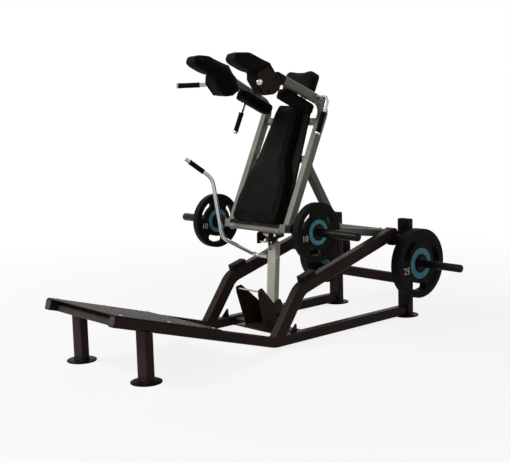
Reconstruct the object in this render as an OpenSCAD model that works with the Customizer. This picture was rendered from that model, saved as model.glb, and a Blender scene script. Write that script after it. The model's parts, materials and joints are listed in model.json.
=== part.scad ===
// Lever squat machine: a floor frame with a sloped foot platform, a padded
// carriage that swings on a rear pivot, and a prop that parks the carriage.
// Lengths are in millimetres. Front is -Y, the user's left is +X.
// Distances named fwd run forward from the rear uprights.

/* [Base frame] */
// Half distance between the side rails
rail_x = 316; // [290:1:380]
// Side of the square rail tube
rail_size = 60; // [50:1:72]
// Wall of every steel tube
tube_wall = 3; // [2:0.5:4]
// Outside corner radius of the tubes
tube_corner = 10; // [6:1:14]
// Rear upright to the bend of the rails
rail_floor_len = 1190; // [1150:5:1430]
// Length of the sloped part of the rails
rail_ramp_len = 1130; // [950:5:1360]
// Slope of the foot platform
ramp_angle = 16.2; // [12:0.2:20]
// Bend radius of the rails
rail_bend_r = 200; // [160:5:240]
// Diameter of the round feet
foot_d = 170; // [140:5:200]
// Thickness of the round feet
foot_h = 12; // [10:1:15]
// Width of the rear uprights
upright_w = 96; // [80:1:116]
// Depth of the rear uprights
upright_d = 50; // [42:1:60]
// Height of the rear uprights above the floor
upright_top = 640; // [620:5:768]
// Thickness of the plastic end caps
cap_t = 5; // [3:1:8]
// Height of the rear crossmember's centre
rear_cross_z = 243; // [205:1:290]
// Height of the rear crossmember's tube
rear_cross_h = 66; // [54:1:80]
// Depth of both crossmembers' tubes
cross_d = 40; // [32:1:48]
// Centre of the floor crossmember
floor_cross_fwd = 940; // [915:1:960]
// Height of the floor crossmember's tube
floor_cross_h = 48; // [40:1:56]

/* [Stays] */
// Width of the stay tube
stay_w = 60; // [50:1:66]
// Depth of the stay tube
stay_h = 75; // [62:1:86]
// Where a stay stands on its rail
stay_foot_fwd = 1152; // [1100:1:1165]
// Corner of the stay
stay_corner_fwd = 970; // [940:1:1000]
// Height of the stay's corner
stay_corner_z = 325; // [300:1:350]
// Bend radius of the stay
stay_bend_r = 130; // [110:1:150]
// Length of a rubber bumper
bumper_len = 113; // [94:1:136]
// Height of a rubber bumper
bumper_h = 30; // [25:1:36]

/* [Pivot] */
// Pivot axis in front of the uprights
pivot_fwd = 145; // [125:1:165]
// Height of the pivot axis
pivot_z = 564; // [540:1:585]
// Diameter of the pivot shaft
shaft_d = 30; // [25:1:36]
// Wall of the pivot bushes
bush_wall = 4; // [3:0.5:5]
// Diameter of the pivot housings
housing_d = 76; // [68:1:84]
// Diameter of the tube around the pivot shaft
sleeve_d = 56; // [48:1:62]
// Radial running clearance
run_gap = 0.05; // [0.02:0.01:0.1]

/* [Platform] */
// Length of the foot plate along the slope
plate_len = 705; // [590:5:845]
// Thickness of the foot plate
plate_t = 5; // [4:0.5:8]
// Width of the platform legs
leg_w = 96; // [80:1:116]
// Depth of the platform legs
leg_d = 50; // [42:1:60]
// Legs in front of the uprights
leg_fwd = 2087; // [1990:1:2130]

/* [Carriage] */
// Half distance between the side frames
frame_x = 250; // [235:1:252]
// Side of the carriage's square tubes
frame_tube = 50; // [44:1:50]
// Rise of the lever arms
lever_angle = 7.8; // [6:0.2:9]
// Pivot to the front end of a lever arm
lever_len = 898; // [895:1:920]
// Backward lean of the back frame
back_lean = 25; // [22:0.5:28]
// Foot of the back beams along the lever arms
beam_foot = 856; // [840:1:862]
// Beam foot to the centre of the shoulder arms
beam_len = 795; // [780:1:860]
// Bend radius at the top of the beams
beam_bend_r = 75; // [65:1:85]
// Front end of the shoulder arms
arm_reach = 352; // [345:1:356]
// Turn of the shoulder arms towards the middle
arm_toe = 5.5; // [4:0.5:7]
// Strut's place along the beam
strut_beam = 400; // [340:1:470]
// Strut's place along the lever arm
strut_lever = 425; // [360:1:470]
// Diameter of the front cross tube
front_tube_d = 32; // [27:1:38]
// Side of the hidden crossbars
crossbar = 40; // [34:1:46]

/* [Pads] */
// Thickness of the back cushion
back_pad_t = 65; // [54:1:78]
// Length of the back cushion
back_pad_len = 768; // [640:1:772]
// Half width of the back cushion at its foot
back_pad_half_w = 203; // [170:1:212]
// Half width of the back cushion at its top
back_neck_half_w = 96; // [80:1:110]
// Thickness of the boards behind the cushions
board_t = 15; // [12:1:18]
// Half width of the back board at its foot
board_half_w = 206; // [172:1:215]
// Half width of the back board at its top
board_neck_half_w = 148; // [124:1:170]
// Half width of the head cushion
head_half_w = 126; // [105:1:150]
// Height of the head cushion
head_len = 138; // [115:1:165]
// Thickness of the head cushion
head_t = 78; // [65:1:94]
// Middle of the shoulder cushions
shoulder_x = 183; // [175:1:190]
// Width of the shoulder cushions
shoulder_w = 96; // [84:1:104]
// Thickness of the rear shoulder cushions
rear_pad_t = 68; // [56:1:80]
// Length of the rear shoulder cushions
rear_pad_len = 262; // [220:1:268]

/* [Handles] */
// Diameter of the handle bars
bar_d = 25; // [21:1:28]
// Diameter of the rubber grips
grip_d = 32; // [29:1:38]
// Length of the grips
grip_len = 130; // [108:1:140]
// Side reach of the handles
handle_x = 370; // [362:1:385]

/* [Horns and weight plates] */
// Diameter of the plate horns
horn_d = 50; // [42:1:52]
// Bare length of a horn past its plate
horn_free = 305; // [250:1:306]
// Outer end of the loading horns
load_horn_x = 787; // [700:1:900]
// Length of a storage horn from its upright
store_horn_len = 399; // [336:1:536]
// Diameter of the collars on the horns
collar_d = 80; // [66:1:96]
// Horn axis along the lever arms
load_horn_lever = 822; // [815:1:830]
// Height of the storage horns
store_horn_z = 363; // [330:1:395]
// Diameter of the large plates
big_plate_d = 450; // [375:1:460]
// Thickness of the large plates
big_plate_t = 66; // [55:1:80]
// Space between an upright and its large plate
big_plate_space = 22; // [14:1:36]
// Diameter of the small plates
small_plate_d = 345; // [287:1:414]
// Thickness of the small plates
small_plate_t = 42; // [35:1:50]
// Inner face of the small plates
small_plate_x = 436; // [425:1:460]
// Radial clearance of a plate on its horn
plate_gap = 0.3; // [0.2:0.1:0.6]

/* [Prop] */
// Width of the prop's tube
prop_w = 80; // [66:1:88]
// Depth of the prop's tube
prop_d = 40; // [34:1:46]
// Prop hinge in front of the uprights
prop_fwd = 906; // [900:1:912]
// Height of the prop hinge
prop_z = 120; // [115:1:130]
// Backward lean of the parked prop
prop_lean = 4; // [3:0.5:5]
// Hinge to the top of the prop's tube
prop_len = 446; // [430:1:450]
// Diameter of the hinge pin
hinge_d = 20; // [16:1:24]
// Diameter of the catch roller
roller_d = 40; // [34:1:46]
// Catch roller in front of the uprights
roller_fwd = 921; // [917:1:924]
// Height of the catch roller
roller_z = 618; // [616:1:626]
// Distance between the roller's side plates
catch_gap = 96; // [92:1:110]
// Thickness of the bracket plates
bracket_t = 8; // [6:1:10]
// Diameter of the stop rod and keeper pin
rod_d = 12; // [10:1:13]

/* [Hidden] */
$fn = 64;
fit = 0.3;
seat = 0.3;
grip_gap = 0.1;
bend_hairline = 0.02;
horn_relief = 1.5;
base_colour = [0.17, 0.14, 0.13];
frame_colour = [0.62, 0.61, 0.57];
chrome_colour = [0.82, 0.83, 0.85];
pad_colour = [0.10, 0.10, 0.10];
rubber_colour = [0.13, 0.13, 0.13];
cap_colour = [0.42, 0.37, 0.33];

rail_z = foot_h + rail_size / 2;
rail_top = foot_h + rail_size;
ramp_dir = [-cos(ramp_angle), sin(ramp_angle)];
rail_corner = [-rail_floor_len, rail_z];
rail_end = rail_corner + rail_ramp_len * ramp_dir;
front_reach = -rail_end[0] + rail_size / 2 * sin(ramp_angle) + cap_t * cos(ramp_angle);
rear_y = (front_reach - big_plate_d / 2) / 2;

lever_dir = [-cos(lever_angle), sin(lever_angle)];
pivot = [-pivot_fwd, pivot_z];
beam_base = pivot + beam_foot * lever_dir;
arm_z = beam_len;
arm_root = -beam_bend_r;
horn_axis = pivot + load_horn_lever * lever_dir;
upright_side = rail_x + upright_w / 2;
store_horn_x = upright_side + store_horn_len;
big_plate_x = upright_side + big_plate_space;
lever_cross_at = 722;
sleeve_end = frame_x - frame_tube / 2;
housing_in = rail_x - stay_w / 2;
housing_out = rail_x + stay_w / 2;
bush_d = shaft_d + 2 * run_gap + 2 * bush_wall;

stay_foot = [-stay_foot_fwd, rail_top];
stay_corner = [-stay_corner_fwd, stay_corner_z];
stay_slope = atan2(pivot_z - stay_corner_z, stay_corner_fwd - pivot_fwd);

pad_back = 0;
board_front = -board_t;

yoke_base_t = 8;
yoke_low = foot_h + floor_cross_h;
yoke_rear_x = prop_w / 2 + 16;
yoke_toe = 13;
stop_fwd = 1092;
stop_z = 296;
keeper = [-952, 577];
prop = [-prop_fwd, prop_z];
head_w = 52;
roller = [-roller_fwd, roller_z];
lever_cross = pivot + lever_cross_at * lever_dir;

// Rounded rectangle, centred
module rounded_rect(w, h, r) {
  square([w - 2 * r, h], center = true);
  square([w, h - 2 * r], center = true);
  for (x = [-1, 1], y = [-1, 1])
    translate([x * (w / 2 - r), y * (h / 2 - r)]) circle(r);
}

// Section of a square tube
module tube_section(w, h) {
  difference() {
    rounded_rect(w, h, tube_corner);
    rounded_rect(w - 2 * tube_wall, h - 2 * tube_wall, tube_corner - tube_wall);
  }
}

// Moves the machine's own places into the part's frame
module in_frame() { translate([0, rear_y, 0]) children(); }

// Local frame of the back: Z up along the beams, -Y towards the user
module in_back() {
  translate([0, beam_base[0], beam_base[1]]) rotate([-back_lean, 0, 0]) children();
}

// Local frame of a lever arm: Z forward along the arm, Y up
module in_lever() {
  translate([0, pivot[0], pivot[1]]) rotate([90 - lever_angle, 0, 0]) children();
}

// Local frame of the prop: Z up along the parked post
module in_prop() {
  translate([0, prop[0], prop[1]]) rotate([-prop_lean, 0, 0]) children();
}

// Extrudes a section in the YZ plane from p to q
module run(p, q) {
  d = q - p;
  translate([0, p[0], p[1]]) rotate([atan2(-d[0], d[1]), 0, 0])
    linear_extrude(norm(d)) children();
}

// Path in the YZ plane with one bend of radius r at the corner, and a hairline at each end of the bend.
// The first child is the section of the straight runs, and the second that of the bend.
module bent_run(p, corner, q, r, hairline = 0) {
  d1 = (corner - p) / norm(corner - p);
  d2 = (q - corner) / norm(q - corner);
  turn = atan2(d1[0] * d2[1] - d1[1] * d2[0], d1 * d2);
  s = sign(turn);
  reach = r * tan(abs(turn) / 2);
  t1 = corner - reach * d1;
  centre = t1 + s * r * [-d1[1], d1[0]];
  out = -s * [-d1[1], d1[0]];
  trim = hairline / r * 180 / PI;
  start = atan2(out[0], -out[1]) + min(turn, 0) + trim;
  run(p, t1) children(0);
  run(corner + reach * d2, q) children(0);
  translate([0, centre[0], centre[1]]) rotate([0, 90, 0]) rotate([0, 0, start])
    rotate_extrude(angle = abs(turn) - 2 * trim, $fn = 96) translate([r, 0]) children(1);
}
module bent_tube(p, corner, q, r, w, h, hairline = 0) {
  bent_run(p, corner, q, r, hairline) {
    tube_section(w, h);
    tube_section(h, w);
  }
}

// Cylinder along X from x0 to x1 at a place in the YZ plane
module axle(at, d, x0, x1) {
  translate([x0, at[0], at[1]]) rotate([0, 90, 0]) cylinder(d = d, h = x1 - x0);
}

// The same on one side of the machine, from x0 out to x1
module outward(at, d, side, x0, x1) {
  axle(at, d, side > 0 ? x0 : -x1, side > 0 ? x1 : -x0);
}

// Round bar along a path, with rings square to it
function unit(v) = v / norm(v);
function ring(p, t, side, r, n) =
  let (a = unit(cross(t, side)), b = cross(t, a))
  [for (i = [0:n - 1]) p + r * (cos(360 * i / n) * a + sin(360 * i / n) * b)];
module bar(path, r, side, n = 20) {
  last = len(path) - 1;
  points = [for (i = [0:last])
    each ring(path[i], unit(path[min(i + 1, last)] - path[max(i - 1, 0)]), side, r, n)];
  walls = [for (i = [0:last - 1], k = [0:n - 1])
    [i * n + k, i * n + (k + 1) % n, (i + 1) * n + (k + 1) % n, (i + 1) * n + k]];
  ends = [[for (k = [n - 1:-1:0]) k], [for (k = [0:n - 1]) last * n + k]];
  polyhedron(points, concat(walls, ends));
}

// Path through corner points, each corner rounded by a quadratic curve of the given reach
function eased(points, reach, steps = 6) = [
  points[0],
  for (i = [1:len(points) - 2])
    let (a = points[i] - reach * unit(points[i] - points[i - 1]),
         b = points[i] + reach * unit(points[i + 1] - points[i]))
    for (k = [0:steps])
      let (t = k / steps) (1 - t) * (1 - t) * a + 2 * t * (1 - t) * points[i] + t * t * b,
  points[len(points) - 1]];

// Base frame
module rail(side) {
  translate([side * rail_x, 0, 0])
    bent_tube([-upright_d / 2, rail_z], rail_corner, rail_end, rail_bend_r, rail_size,
      rail_size, bend_hairline);
}
module upright(side) {
  translate([side * rail_x, 0, foot_h]) linear_extrude(upright_top - foot_h)
    tube_section(upright_w, upright_d);
}
module stay(side) {
  difference() {
    translate([side * rail_x, 0, 0]) union() {
      difference() {
        bent_tube(stay_foot - 80 * unit(stay_corner - stay_foot), stay_corner, pivot,
          stay_bend_r, stay_w, stay_h);
        translate([-stay_w, stay_foot[0] - 2 * stay_h, rail_top - 4 * stay_h])
          cube([2 * stay_w, 4 * stay_h, 4 * stay_h]);
        bent_run([-upright_d / 2, rail_z], rail_corner, rail_end, rail_bend_r) {
          square([2 * stay_w, rail_size + bend_hairline], center = true);
          square([rail_size + bend_hairline, 2 * stay_w], center = true);
        }
      }
      difference() {
        run([-pivot_fwd, pivot_z - stay_h * 0.62], [-upright_d / 2, pivot_z - stay_h * 0.62])
          tube_section(stay_w, stay_h * 0.8);
        run(stay_corner, pivot) square([2 * stay_w, stay_h], center = true);
      }
    }
    axle(pivot, housing_d, side * rail_x - stay_w, side * rail_x + stay_w);
  }
}
module rail_left() { color(base_colour) in_frame() rail(1); }
module rail_right() { color(base_colour) in_frame() rail(-1); }
module upright_left() { color(base_colour) in_frame() upright(1); }
module upright_right() { color(base_colour) in_frame() upright(-1); }
module stay_left() { color(base_colour) in_frame() stay(1); }
module stay_right() { color(base_colour) in_frame() stay(-1); }
module base_end_caps() {
  color(cap_colour) in_frame() for (side = [-1, 1]) {
    translate([side * rail_x, 0, 0]) run(rail_end, rail_end + cap_t * ramp_dir)
      rounded_rect(rail_size, rail_size, tube_corner);
    translate([side * rail_x, 0, upright_top]) linear_extrude(cap_t)
      rounded_rect(upright_w, upright_d, tube_corner);
    axle(pivot, housing_d * 0.8, side > 0 ? housing_out : -housing_out - cap_t,
      side > 0 ? housing_out + cap_t : -housing_out);
    axle([0, store_horn_z], horn_d, side > 0 ? store_horn_x : -store_horn_x - cap_t,
      side > 0 ? store_horn_x + cap_t : -store_horn_x);
  }
}
module rear_crossmember() {
  half = rail_x - upright_w / 2;
  color(base_colour) in_frame() translate([-half, 0, rear_cross_z]) rotate([90, 0, 90])
    linear_extrude(2 * half) tube_section(cross_d, rear_cross_h);
}
module floor_crossmember() {
  half = rail_x - rail_size / 2;
  color(base_colour) in_frame() translate([-half, -floor_cross_fwd, foot_h + floor_cross_h / 2])
    rotate([90, 0, 90]) linear_extrude(2 * half) tube_section(2 * cross_d, floor_cross_h);
}
module feet() {
  color(rubber_colour) in_frame() for (side = [-1, 1], at = [0, -leg_fwd])
    translate([side * rail_x, at, 0])
      cylinder(d1 = foot_d, d2 = foot_d - 2 * foot_h, h = foot_h);
}
module leg(side) {
  top = rail_z + (leg_fwd - rail_floor_len) * tan(ramp_angle);
  difference() {
    translate([side * rail_x, -leg_fwd, foot_h]) linear_extrude(top - foot_h)
      tube_section(leg_w, leg_d);
    translate([side * rail_x, 0, 0]) run(rail_corner, rail_end)
      square([2 * leg_w, rail_size], center = true);
  }
}
module leg_left() { color(base_colour) in_frame() leg(1); }
module leg_right() { color(base_colour) in_frame() leg(-1); }
module bumpers() {
  color(rubber_colour) in_frame() for (side = [-1, 1])
    translate([side * rail_x, stay_corner[0], stay_corner[1]]) rotate([stay_slope, 0, 0])
      translate([0, stay_bend_r * tan(stay_slope) / 2 + bumper_len / 2, stay_h / 2])
        linear_extrude(bumper_h) rounded_rect(stay_w - 4, bumper_len, tube_corner);
}

// Foot platform
module platform_plate() {
  half = rail_x + rail_size / 2;
  color(base_colour) in_frame() translate([0, rail_end[0], rail_end[1]])
    rotate([-ramp_angle, 0, 0]) translate([-half, 0, rail_size / 2 + bend_hairline])
      cube([2 * half, plate_len, plate_t]);
}
module platform_crossbar() {
  half = rail_x - rail_size / 2;
  color(cap_colour) in_frame() translate([0, rail_end[0], rail_end[1]]) rotate([-ramp_angle, 0, 0])
    translate([-half, 1.5 * cross_d, cross_d / 2 - rail_size / 2]) rotate([90, 0, 90])
      linear_extrude(2 * half) tube_section(cross_d, cross_d);
}
module platform_bolts() {
  color(chrome_colour) in_frame() translate([0, rail_end[0], rail_end[1]])
    rotate([-ramp_angle, 0, 0])
      for (side = [-1, 1], at = [0.06, 0.5, 0.94])
        translate([side * rail_x, at * plate_len, rail_size / 2 + bend_hairline + plate_t])
          cylinder(d1 = 18, d2 = 12, h = 5);
}

// Pivot
module pivot_housings() {
  color(base_colour) in_frame() for (side = [-1, 1]) difference() {
    axle(pivot, housing_d, side * rail_x - stay_w / 2, side * rail_x + stay_w / 2);
    axle(pivot, bush_d, side * rail_x - stay_w, side * rail_x + stay_w);
  }
}
module pivot_bushes() {
  inner = frame_x + frame_tube / 2 + fit;
  color(chrome_colour) in_frame() for (side = [-1, 1]) difference() {
    union() {
      axle(pivot, bush_d, side > 0 ? inner : -housing_out, side > 0 ? housing_out : -inner);
      axle(pivot, bush_d + 3 * bush_wall, side > 0 ? inner : -housing_in,
        side > 0 ? housing_in : -inner);
    }
    axle(pivot, shaft_d + 2 * run_gap, side * rail_x - 2 * stay_w, side * rail_x + 2 * stay_w);
  }
}
module pivot_shaft() {
  color(chrome_colour) in_frame() axle(pivot, shaft_d, -housing_out, housing_out);
}
module pivot_sleeve() {
  color(frame_colour) in_frame() difference() {
    axle(pivot, sleeve_d, -sleeve_end, sleeve_end);
    axle(pivot, shaft_d, -rail_x, rail_x);
  }
}

// Carriage frame
module lever_arm(side) {
  color(frame_colour) in_frame() difference() {
    in_lever() translate([side * frame_x, 0, -frame_tube * 0.8])
      linear_extrude(lever_len + frame_tube * 0.8) tube_section(frame_tube, frame_tube);
    axle(pivot, shaft_d, -rail_x, rail_x);
  }
}
module lever_arm_left() { lever_arm(1); }
module lever_arm_right() { lever_arm(-1); }
module below_lever() {
  in_lever() translate([-rail_x, -3 * rail_x + frame_tube / 2, -rail_x])
    cube([2 * rail_x, 3 * rail_x, lever_len + 2 * rail_x]);
}
module back_beam(side) {
  color(frame_colour) in_frame() difference() {
    in_back() translate([side * frame_x, 0, 0]) {
      bent_tube([0, -frame_tube], [0, arm_z], [arm_root - 4, arm_z], beam_bend_r,
        frame_tube, frame_tube);
      translate([0, arm_root, arm_z]) rotate([90, 0, -side * arm_toe])
        linear_extrude(arm_reach + arm_root) tube_section(frame_tube, frame_tube);
    }
    below_lever();
  }
}
module back_beam_left() { back_beam(1); }
module back_beam_right() { back_beam(-1); }
module strut(side) {
  foot = pivot + strut_lever * lever_dir;
  head = beam_base + strut_beam * [sin(back_lean), cos(back_lean)];
  d = unit(head - foot);
  color(frame_colour) in_frame() difference() {
    translate([side * frame_x, 0, 0]) run(foot - frame_tube * d, head)
      tube_section(frame_tube, frame_tube);
    below_lever();
    in_back() translate([-rail_x, -2 * frame_tube, -rail_x])
      cube([2 * rail_x, 2.5 * frame_tube, beam_len + 2 * rail_x]);
  }
}
module strut_left() { strut(1); }
module strut_right() { strut(-1); }
module front_cross_tube() {
  half = frame_x - frame_tube / 2;
  flare = front_tube_d;
  color(frame_colour) in_frame() in_back() translate([0, -frame_tube * 0.4, -frame_tube * 0.48]) {
    axle([0, 0], front_tube_d, -half, half);
    for (side = [-1, 1]) translate([side * half, 0, 0]) rotate([0, -90 * side, 0])
      cylinder(d1 = 1.4 * front_tube_d, d2 = front_tube_d, h = flare);
  }
}
module lever_crossbar() {
  half = frame_x - frame_tube / 2;
  color(frame_colour) in_frame() in_lever()
    translate([-half, 0, lever_cross_at]) rotate([90, 0, 90])
      linear_extrude(2 * half) tube_section(crossbar, crossbar);
}
module back_crossbars() {
  half = frame_x - frame_tube / 2;
  color(frame_colour) in_frame() in_back()
    for (at = [0.14, 0.62, 0.96]) translate([-half, crossbar / 2, at * (beam_len - beam_bend_r)])
      rotate([90, 0, 90]) linear_extrude(2 * half) tube_section(crossbar, crossbar);
}
// Horn from its root to its tip: a collar before the plate, then a bare end a little thicker than the root
module horn(at, side, root, stop, tip, end) {
  outward(at, horn_d - 2 * horn_relief, side, root, end - horn_free);
  outward(at, horn_d, side, end - horn_free, tip);
  outward(at, collar_d, side, stop - cap_t, stop);
}
module loading_horn(side) {
  color(base_colour) in_frame()
    horn(horn_axis, side, frame_x + frame_tube / 2, small_plate_x - fit, load_horn_x, load_horn_x);
}
module loading_horn_left() { loading_horn(1); }
module loading_horn_right() { loading_horn(-1); }
module storage_horn(side) {
  color(base_colour) in_frame()
    horn([0, store_horn_z], side, upright_side, big_plate_x - fit, store_horn_x,
      store_horn_x + cap_t);
}
module storage_horn_left() { storage_horn(1); }
module storage_horn_right() { storage_horn(-1); }

// Cushions and their boards
function back_outline(w, neck, len) = [
  [-w, 0], [w, 0], [w, 0.18 * len], [0.86 * w, 0.42 * len], [(w + neck) / 2 - 26, 0.52 * len],
  [neck, len], [-neck, len], [-(w + neck) / 2 + 26, 0.52 * len], [-0.86 * w, 0.42 * len],
  [-w, 0.18 * len]];
module back_board() {
  inset = 12;
  color(rubber_colour) in_frame() in_back() translate([0, pad_back, inset + 8]) rotate([90, 0, 0])
    linear_extrude(board_t) polygon([
      [-board_half_w, 0], [board_half_w, 0], [board_half_w, 0.34 * back_pad_len],
      [board_neck_half_w, back_pad_len - 2 * inset], [-board_neck_half_w, back_pad_len - 2 * inset],
      [-board_half_w, 0.34 * back_pad_len]]);
}
module back_pad() {
  color(pad_colour) in_frame() in_back() translate([0, board_front - seat, 8]) rotate([90, 0, 0])
    linear_extrude(back_pad_t)
      polygon(back_outline(back_pad_half_w, back_neck_half_w, back_pad_len));
}
head_foot = beam_len + 70;
module head_bracket() {
  bar_w = 50;
  foot = 0.96 * (beam_len - beam_bend_r) + crossbar / 2;
  color(frame_colour) in_frame() in_back() {
    translate([-bar_w / 2, crossbar - bracket_t, foot])
      cube([bar_w, bracket_t, head_foot + head_len * 0.8 - foot]);
    translate([-bar_w, crossbar - bracket_t - board_t, head_foot + 0.2 * head_len])
      cube([2 * bar_w, board_t, 0.6 * head_len]);
  }
}
module head_pad() {
  back = crossbar - bracket_t - board_t - seat;
  color(pad_colour) in_frame() in_back() translate([0, back, head_foot]) rotate([90, 0, 0])
    linear_extrude(head_t) translate([0, head_len / 2]) rounded_rect(2 * head_half_w, head_len, 25);
}
arm_low = arm_z - frame_tube / 2;
side_plate_t = 6;
// Side view of a front cushion: distance forward, then height from the arm's middle
shoulder_outline = [
  [735, -60], [738, -10], [650, 37], [480, 53], [395, 5], [345, -53], [380, -107], [455, -139],
  [545, -89], [562, -49], [620, -60]];
side_outline = [
  [360, 14], [360, -24], [392, -100], [455, -134], [540, -96], [556, -48], [500, 10]];
// Back of the front cushion at a height from the arm's middle
function back_of_pad(u) = shoulder_outline[4][0] - seat + (u - shoulder_outline[4][1])
  * (shoulder_outline[4][0] - shoulder_outline[5][0])
  / (shoulder_outline[4][1] - shoulder_outline[5][1]);
module front_pad(side) {
  color(pad_colour) in_frame() in_back()
    translate([side * shoulder_x + shoulder_w / 2, 0, arm_z]) rotate([90, 0, -90])
      linear_extrude(shoulder_w) polygon(shoulder_outline);
}
module front_pad_left() { front_pad(1); }
module front_pad_right() { front_pad(-1); }
module pad_brackets() {
  // A wedge from the end of each arm to the slanted back of its front cushion, and a side plate
  plate_x = shoulder_x + shoulder_w / 2 + seat;
  color(frame_colour) in_frame() in_back() for (side = [-1, 1]) {
    difference() {
      translate([side * frame_x, arm_root, arm_z]) rotate([90, 0, -side * arm_toe])
        translate([0, 0, arm_reach + arm_root])
          linear_extrude(2 * frame_tube) rounded_rect(frame_tube, frame_tube, tube_corner);
      translate([rail_x, 0, arm_z]) rotate([90, 0, -90]) linear_extrude(2 * rail_x)
        polygon([[back_of_pad(-80), -80], [back_of_pad(80), 80], [900, 80], [900, -80]]);
    }
    translate([side > 0 ? plate_x + side_plate_t : -plate_x, 0, arm_z]) rotate([90, 0, -90])
      linear_extrude(side_plate_t) polygon(side_outline);
  }
}
module rear_pad(side) {
  round_r = 24;
  color(pad_colour) in_frame() in_back()
    translate([side * shoulder_x, -46, arm_low - seat - rear_pad_t]) linear_extrude(rear_pad_t)
      translate([0, -rear_pad_len / 2]) rounded_rect(shoulder_w, rear_pad_len, round_r);
}
module rear_pad_left() { rear_pad(1); }
module rear_pad_right() { rear_pad(-1); }

// Handles
front_root = [-512, arm_z - 87];
front_stub = 22;
front_tip = [-630, arm_z - 145];
rear_root_y = -104;
front_bend = 18;
rear_bend = 40;
plate_face = shoulder_x + shoulder_w / 2 + seat + side_plate_t;
// The round root of a bar meets the turned face of its arm at one edge
rear_root_gap = bar_d / 2 * sin(arm_toe);
function arm_x(y) = frame_x + frame_tube / 2 - (arm_root - y) * tan(arm_toe);
// A front handle leaves its side plate square and then turns out and forward
function front_handle_path(side) = [
  [side * plate_face, front_root[0], front_root[1]],
  [side * (plate_face + front_stub), front_root[0], front_root[1]],
  [side * handle_x, front_tip[0], front_tip[1]]];
function rear_handle_path(side) = [
  [side * (arm_x(rear_root_y) + rear_root_gap), rear_root_y, arm_z],
  [side * handle_x, rear_root_y, arm_z],
  [side * handle_x, rear_root_y, arm_z - 225]];
module rod(a, b, d) {
  v = b - a;
  translate(a) rotate([0, acos(v[2] / norm(v)), atan2(v[1], v[0])]) cylinder(d = d, h = norm(v));
}
module grip_on(before, tip, length) {
  back = unit(before - tip);
  difference() {
    rod(tip, tip + length * back, grip_d);
    rod(tip - grip_d * back, tip + 2 * length * back, bar_d + 2 * grip_gap);
  }
}
module front_handles() {
  color(chrome_colour) in_frame() in_back() for (side = [-1, 1])
    bar(eased(front_handle_path(side), front_bend), bar_d / 2, [0, 0, 1]);
}
module rear_handles() {
  color(chrome_colour) in_frame() in_back() for (side = [-1, 1])
    bar(eased(rear_handle_path(side), rear_bend), bar_d / 2, [0, 1, 0]);
}
module front_grips() {
  color(rubber_colour) in_frame() in_back() for (side = [-1, 1])
    grip_on(front_handle_path(side)[1], front_handle_path(side)[2], grip_len);
}
module rear_grips() {
  color(rubber_colour) in_frame() in_back() for (side = [-1, 1])
    grip_on(rear_handle_path(side)[1], rear_handle_path(side)[2], grip_len);
}
module handle_caps() {
  cap_len = 12;
  color(chrome_colour) in_frame() in_back() for (side = [-1, 1])
    for (path = [front_handle_path(side), rear_handle_path(side)]) {
      d = unit(path[2] - path[1]);
      rod(path[2], path[2] + cap_len * d, grip_d);
    }
}

// Catch under the lever arms
module catch_plate() {
  low = keeper[1] - 14;
  top = lever_cross[1] - crossbar / 2;
  polygon([
    [lever_cross[0] + 20, top - 12], [lever_cross[0] - 12, top - 2], [roller[0] - 24, roller[1] + 26],
    [roller[0] - 46, roller[1] + 6], [keeper[0] - 16, low], [keeper[0] + 16, low],
    [roller[0] + 24, roller[1] - 26], [lever_cross[0] + 20, top - 40]]);
}
module catch_bracket() {
  color(frame_colour) in_frame() difference() {
    union() {
      for (side = [-1, 1])
        translate([side * (catch_gap / 2 + bracket_t / 2) - bracket_t / 2, 0, 0])
          rotate([90, 0, 90]) linear_extrude(bracket_t) catch_plate();
      in_lever() translate([-catch_gap / 2 - bracket_t / 2, -crossbar / 2 - bracket_t,
          lever_cross_at - crossbar / 2])
        cube([catch_gap + bracket_t, bracket_t, crossbar]);
    }
    axle(roller, 0.5 * roller_d, -catch_gap, catch_gap);
    axle(keeper, rod_d, -catch_gap, catch_gap);
  }
}
module catch_roller() {
  side_face = catch_gap / 2 + bracket_t;
  color(chrome_colour) in_frame() {
    axle(roller, roller_d, -catch_gap / 2 + fit, catch_gap / 2 - fit);
    axle(roller, 0.5 * roller_d, -side_face, side_face);
    axle(keeper, rod_d, -side_face, side_face);
  }
}

// Prop and its yoke
module yoke_side() {
  polygon([
    [-prop_fwd + 40, yoke_low], [-prop_fwd + 40, prop_z + 70], [-prop_fwd + 20, prop_z + 96],
    [-prop_fwd - 50, prop_z + 82], [-stop_fwd + 16, stop_z + 20], [-stop_fwd - 16, stop_z + 14],
    [-stop_fwd - 20, stop_z - 18], [-stop_fwd + 40, yoke_low]]);
}
module yoke_plates() {
  for (side = [-1, 1])
    translate([side * yoke_rear_x, -prop_fwd, 0]) rotate([0, 0, side * yoke_toe])
      translate([-bracket_t / 2, prop_fwd, 0]) rotate([90, 0, 90])
        linear_extrude(bracket_t) yoke_side();
}
module prop_yoke() {
  front = stop_fwd + 12;
  rear = prop_fwd - 40;
  half = yoke_rear_x + 62;
  color(rubber_colour) in_frame() difference() {
    union() {
      yoke_plates();
      translate([-half, -front, yoke_low])
        cube([2 * half, front - rear, yoke_base_t]);
    }
    axle(prop, hinge_d, -rail_x, rail_x);
    axle([-stop_fwd, stop_z], rod_d, -rail_x, rail_x);
  }
}
module stop_rod() {
  half = yoke_rear_x + (stop_fwd - prop_fwd) * tan(yoke_toe) + bracket_t;
  color(chrome_colour) in_frame() axle([-stop_fwd, stop_z], rod_d, -half, half);
}
module prop_hinge_pin() {
  half = yoke_rear_x + 1.5 * bracket_t;
  color(chrome_colour) in_frame() axle(prop, hinge_d, -half, half);
}
module prop_post() {
  hub_d = hinge_d + 22;
  hub_side = 2;
  color(frame_colour) in_frame() difference() {
    union() {
      in_prop() translate([0, 0, -hub_d / 2]) linear_extrude(prop_len + hub_d / 2)
        tube_section(prop_w, prop_d);
      axle(prop, hub_d, -prop_w / 2 - hub_side, prop_w / 2 + hub_side);
    }
    axle(prop, hinge_d + 2 * run_gap, -rail_x, rail_x);
  }
}
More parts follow.
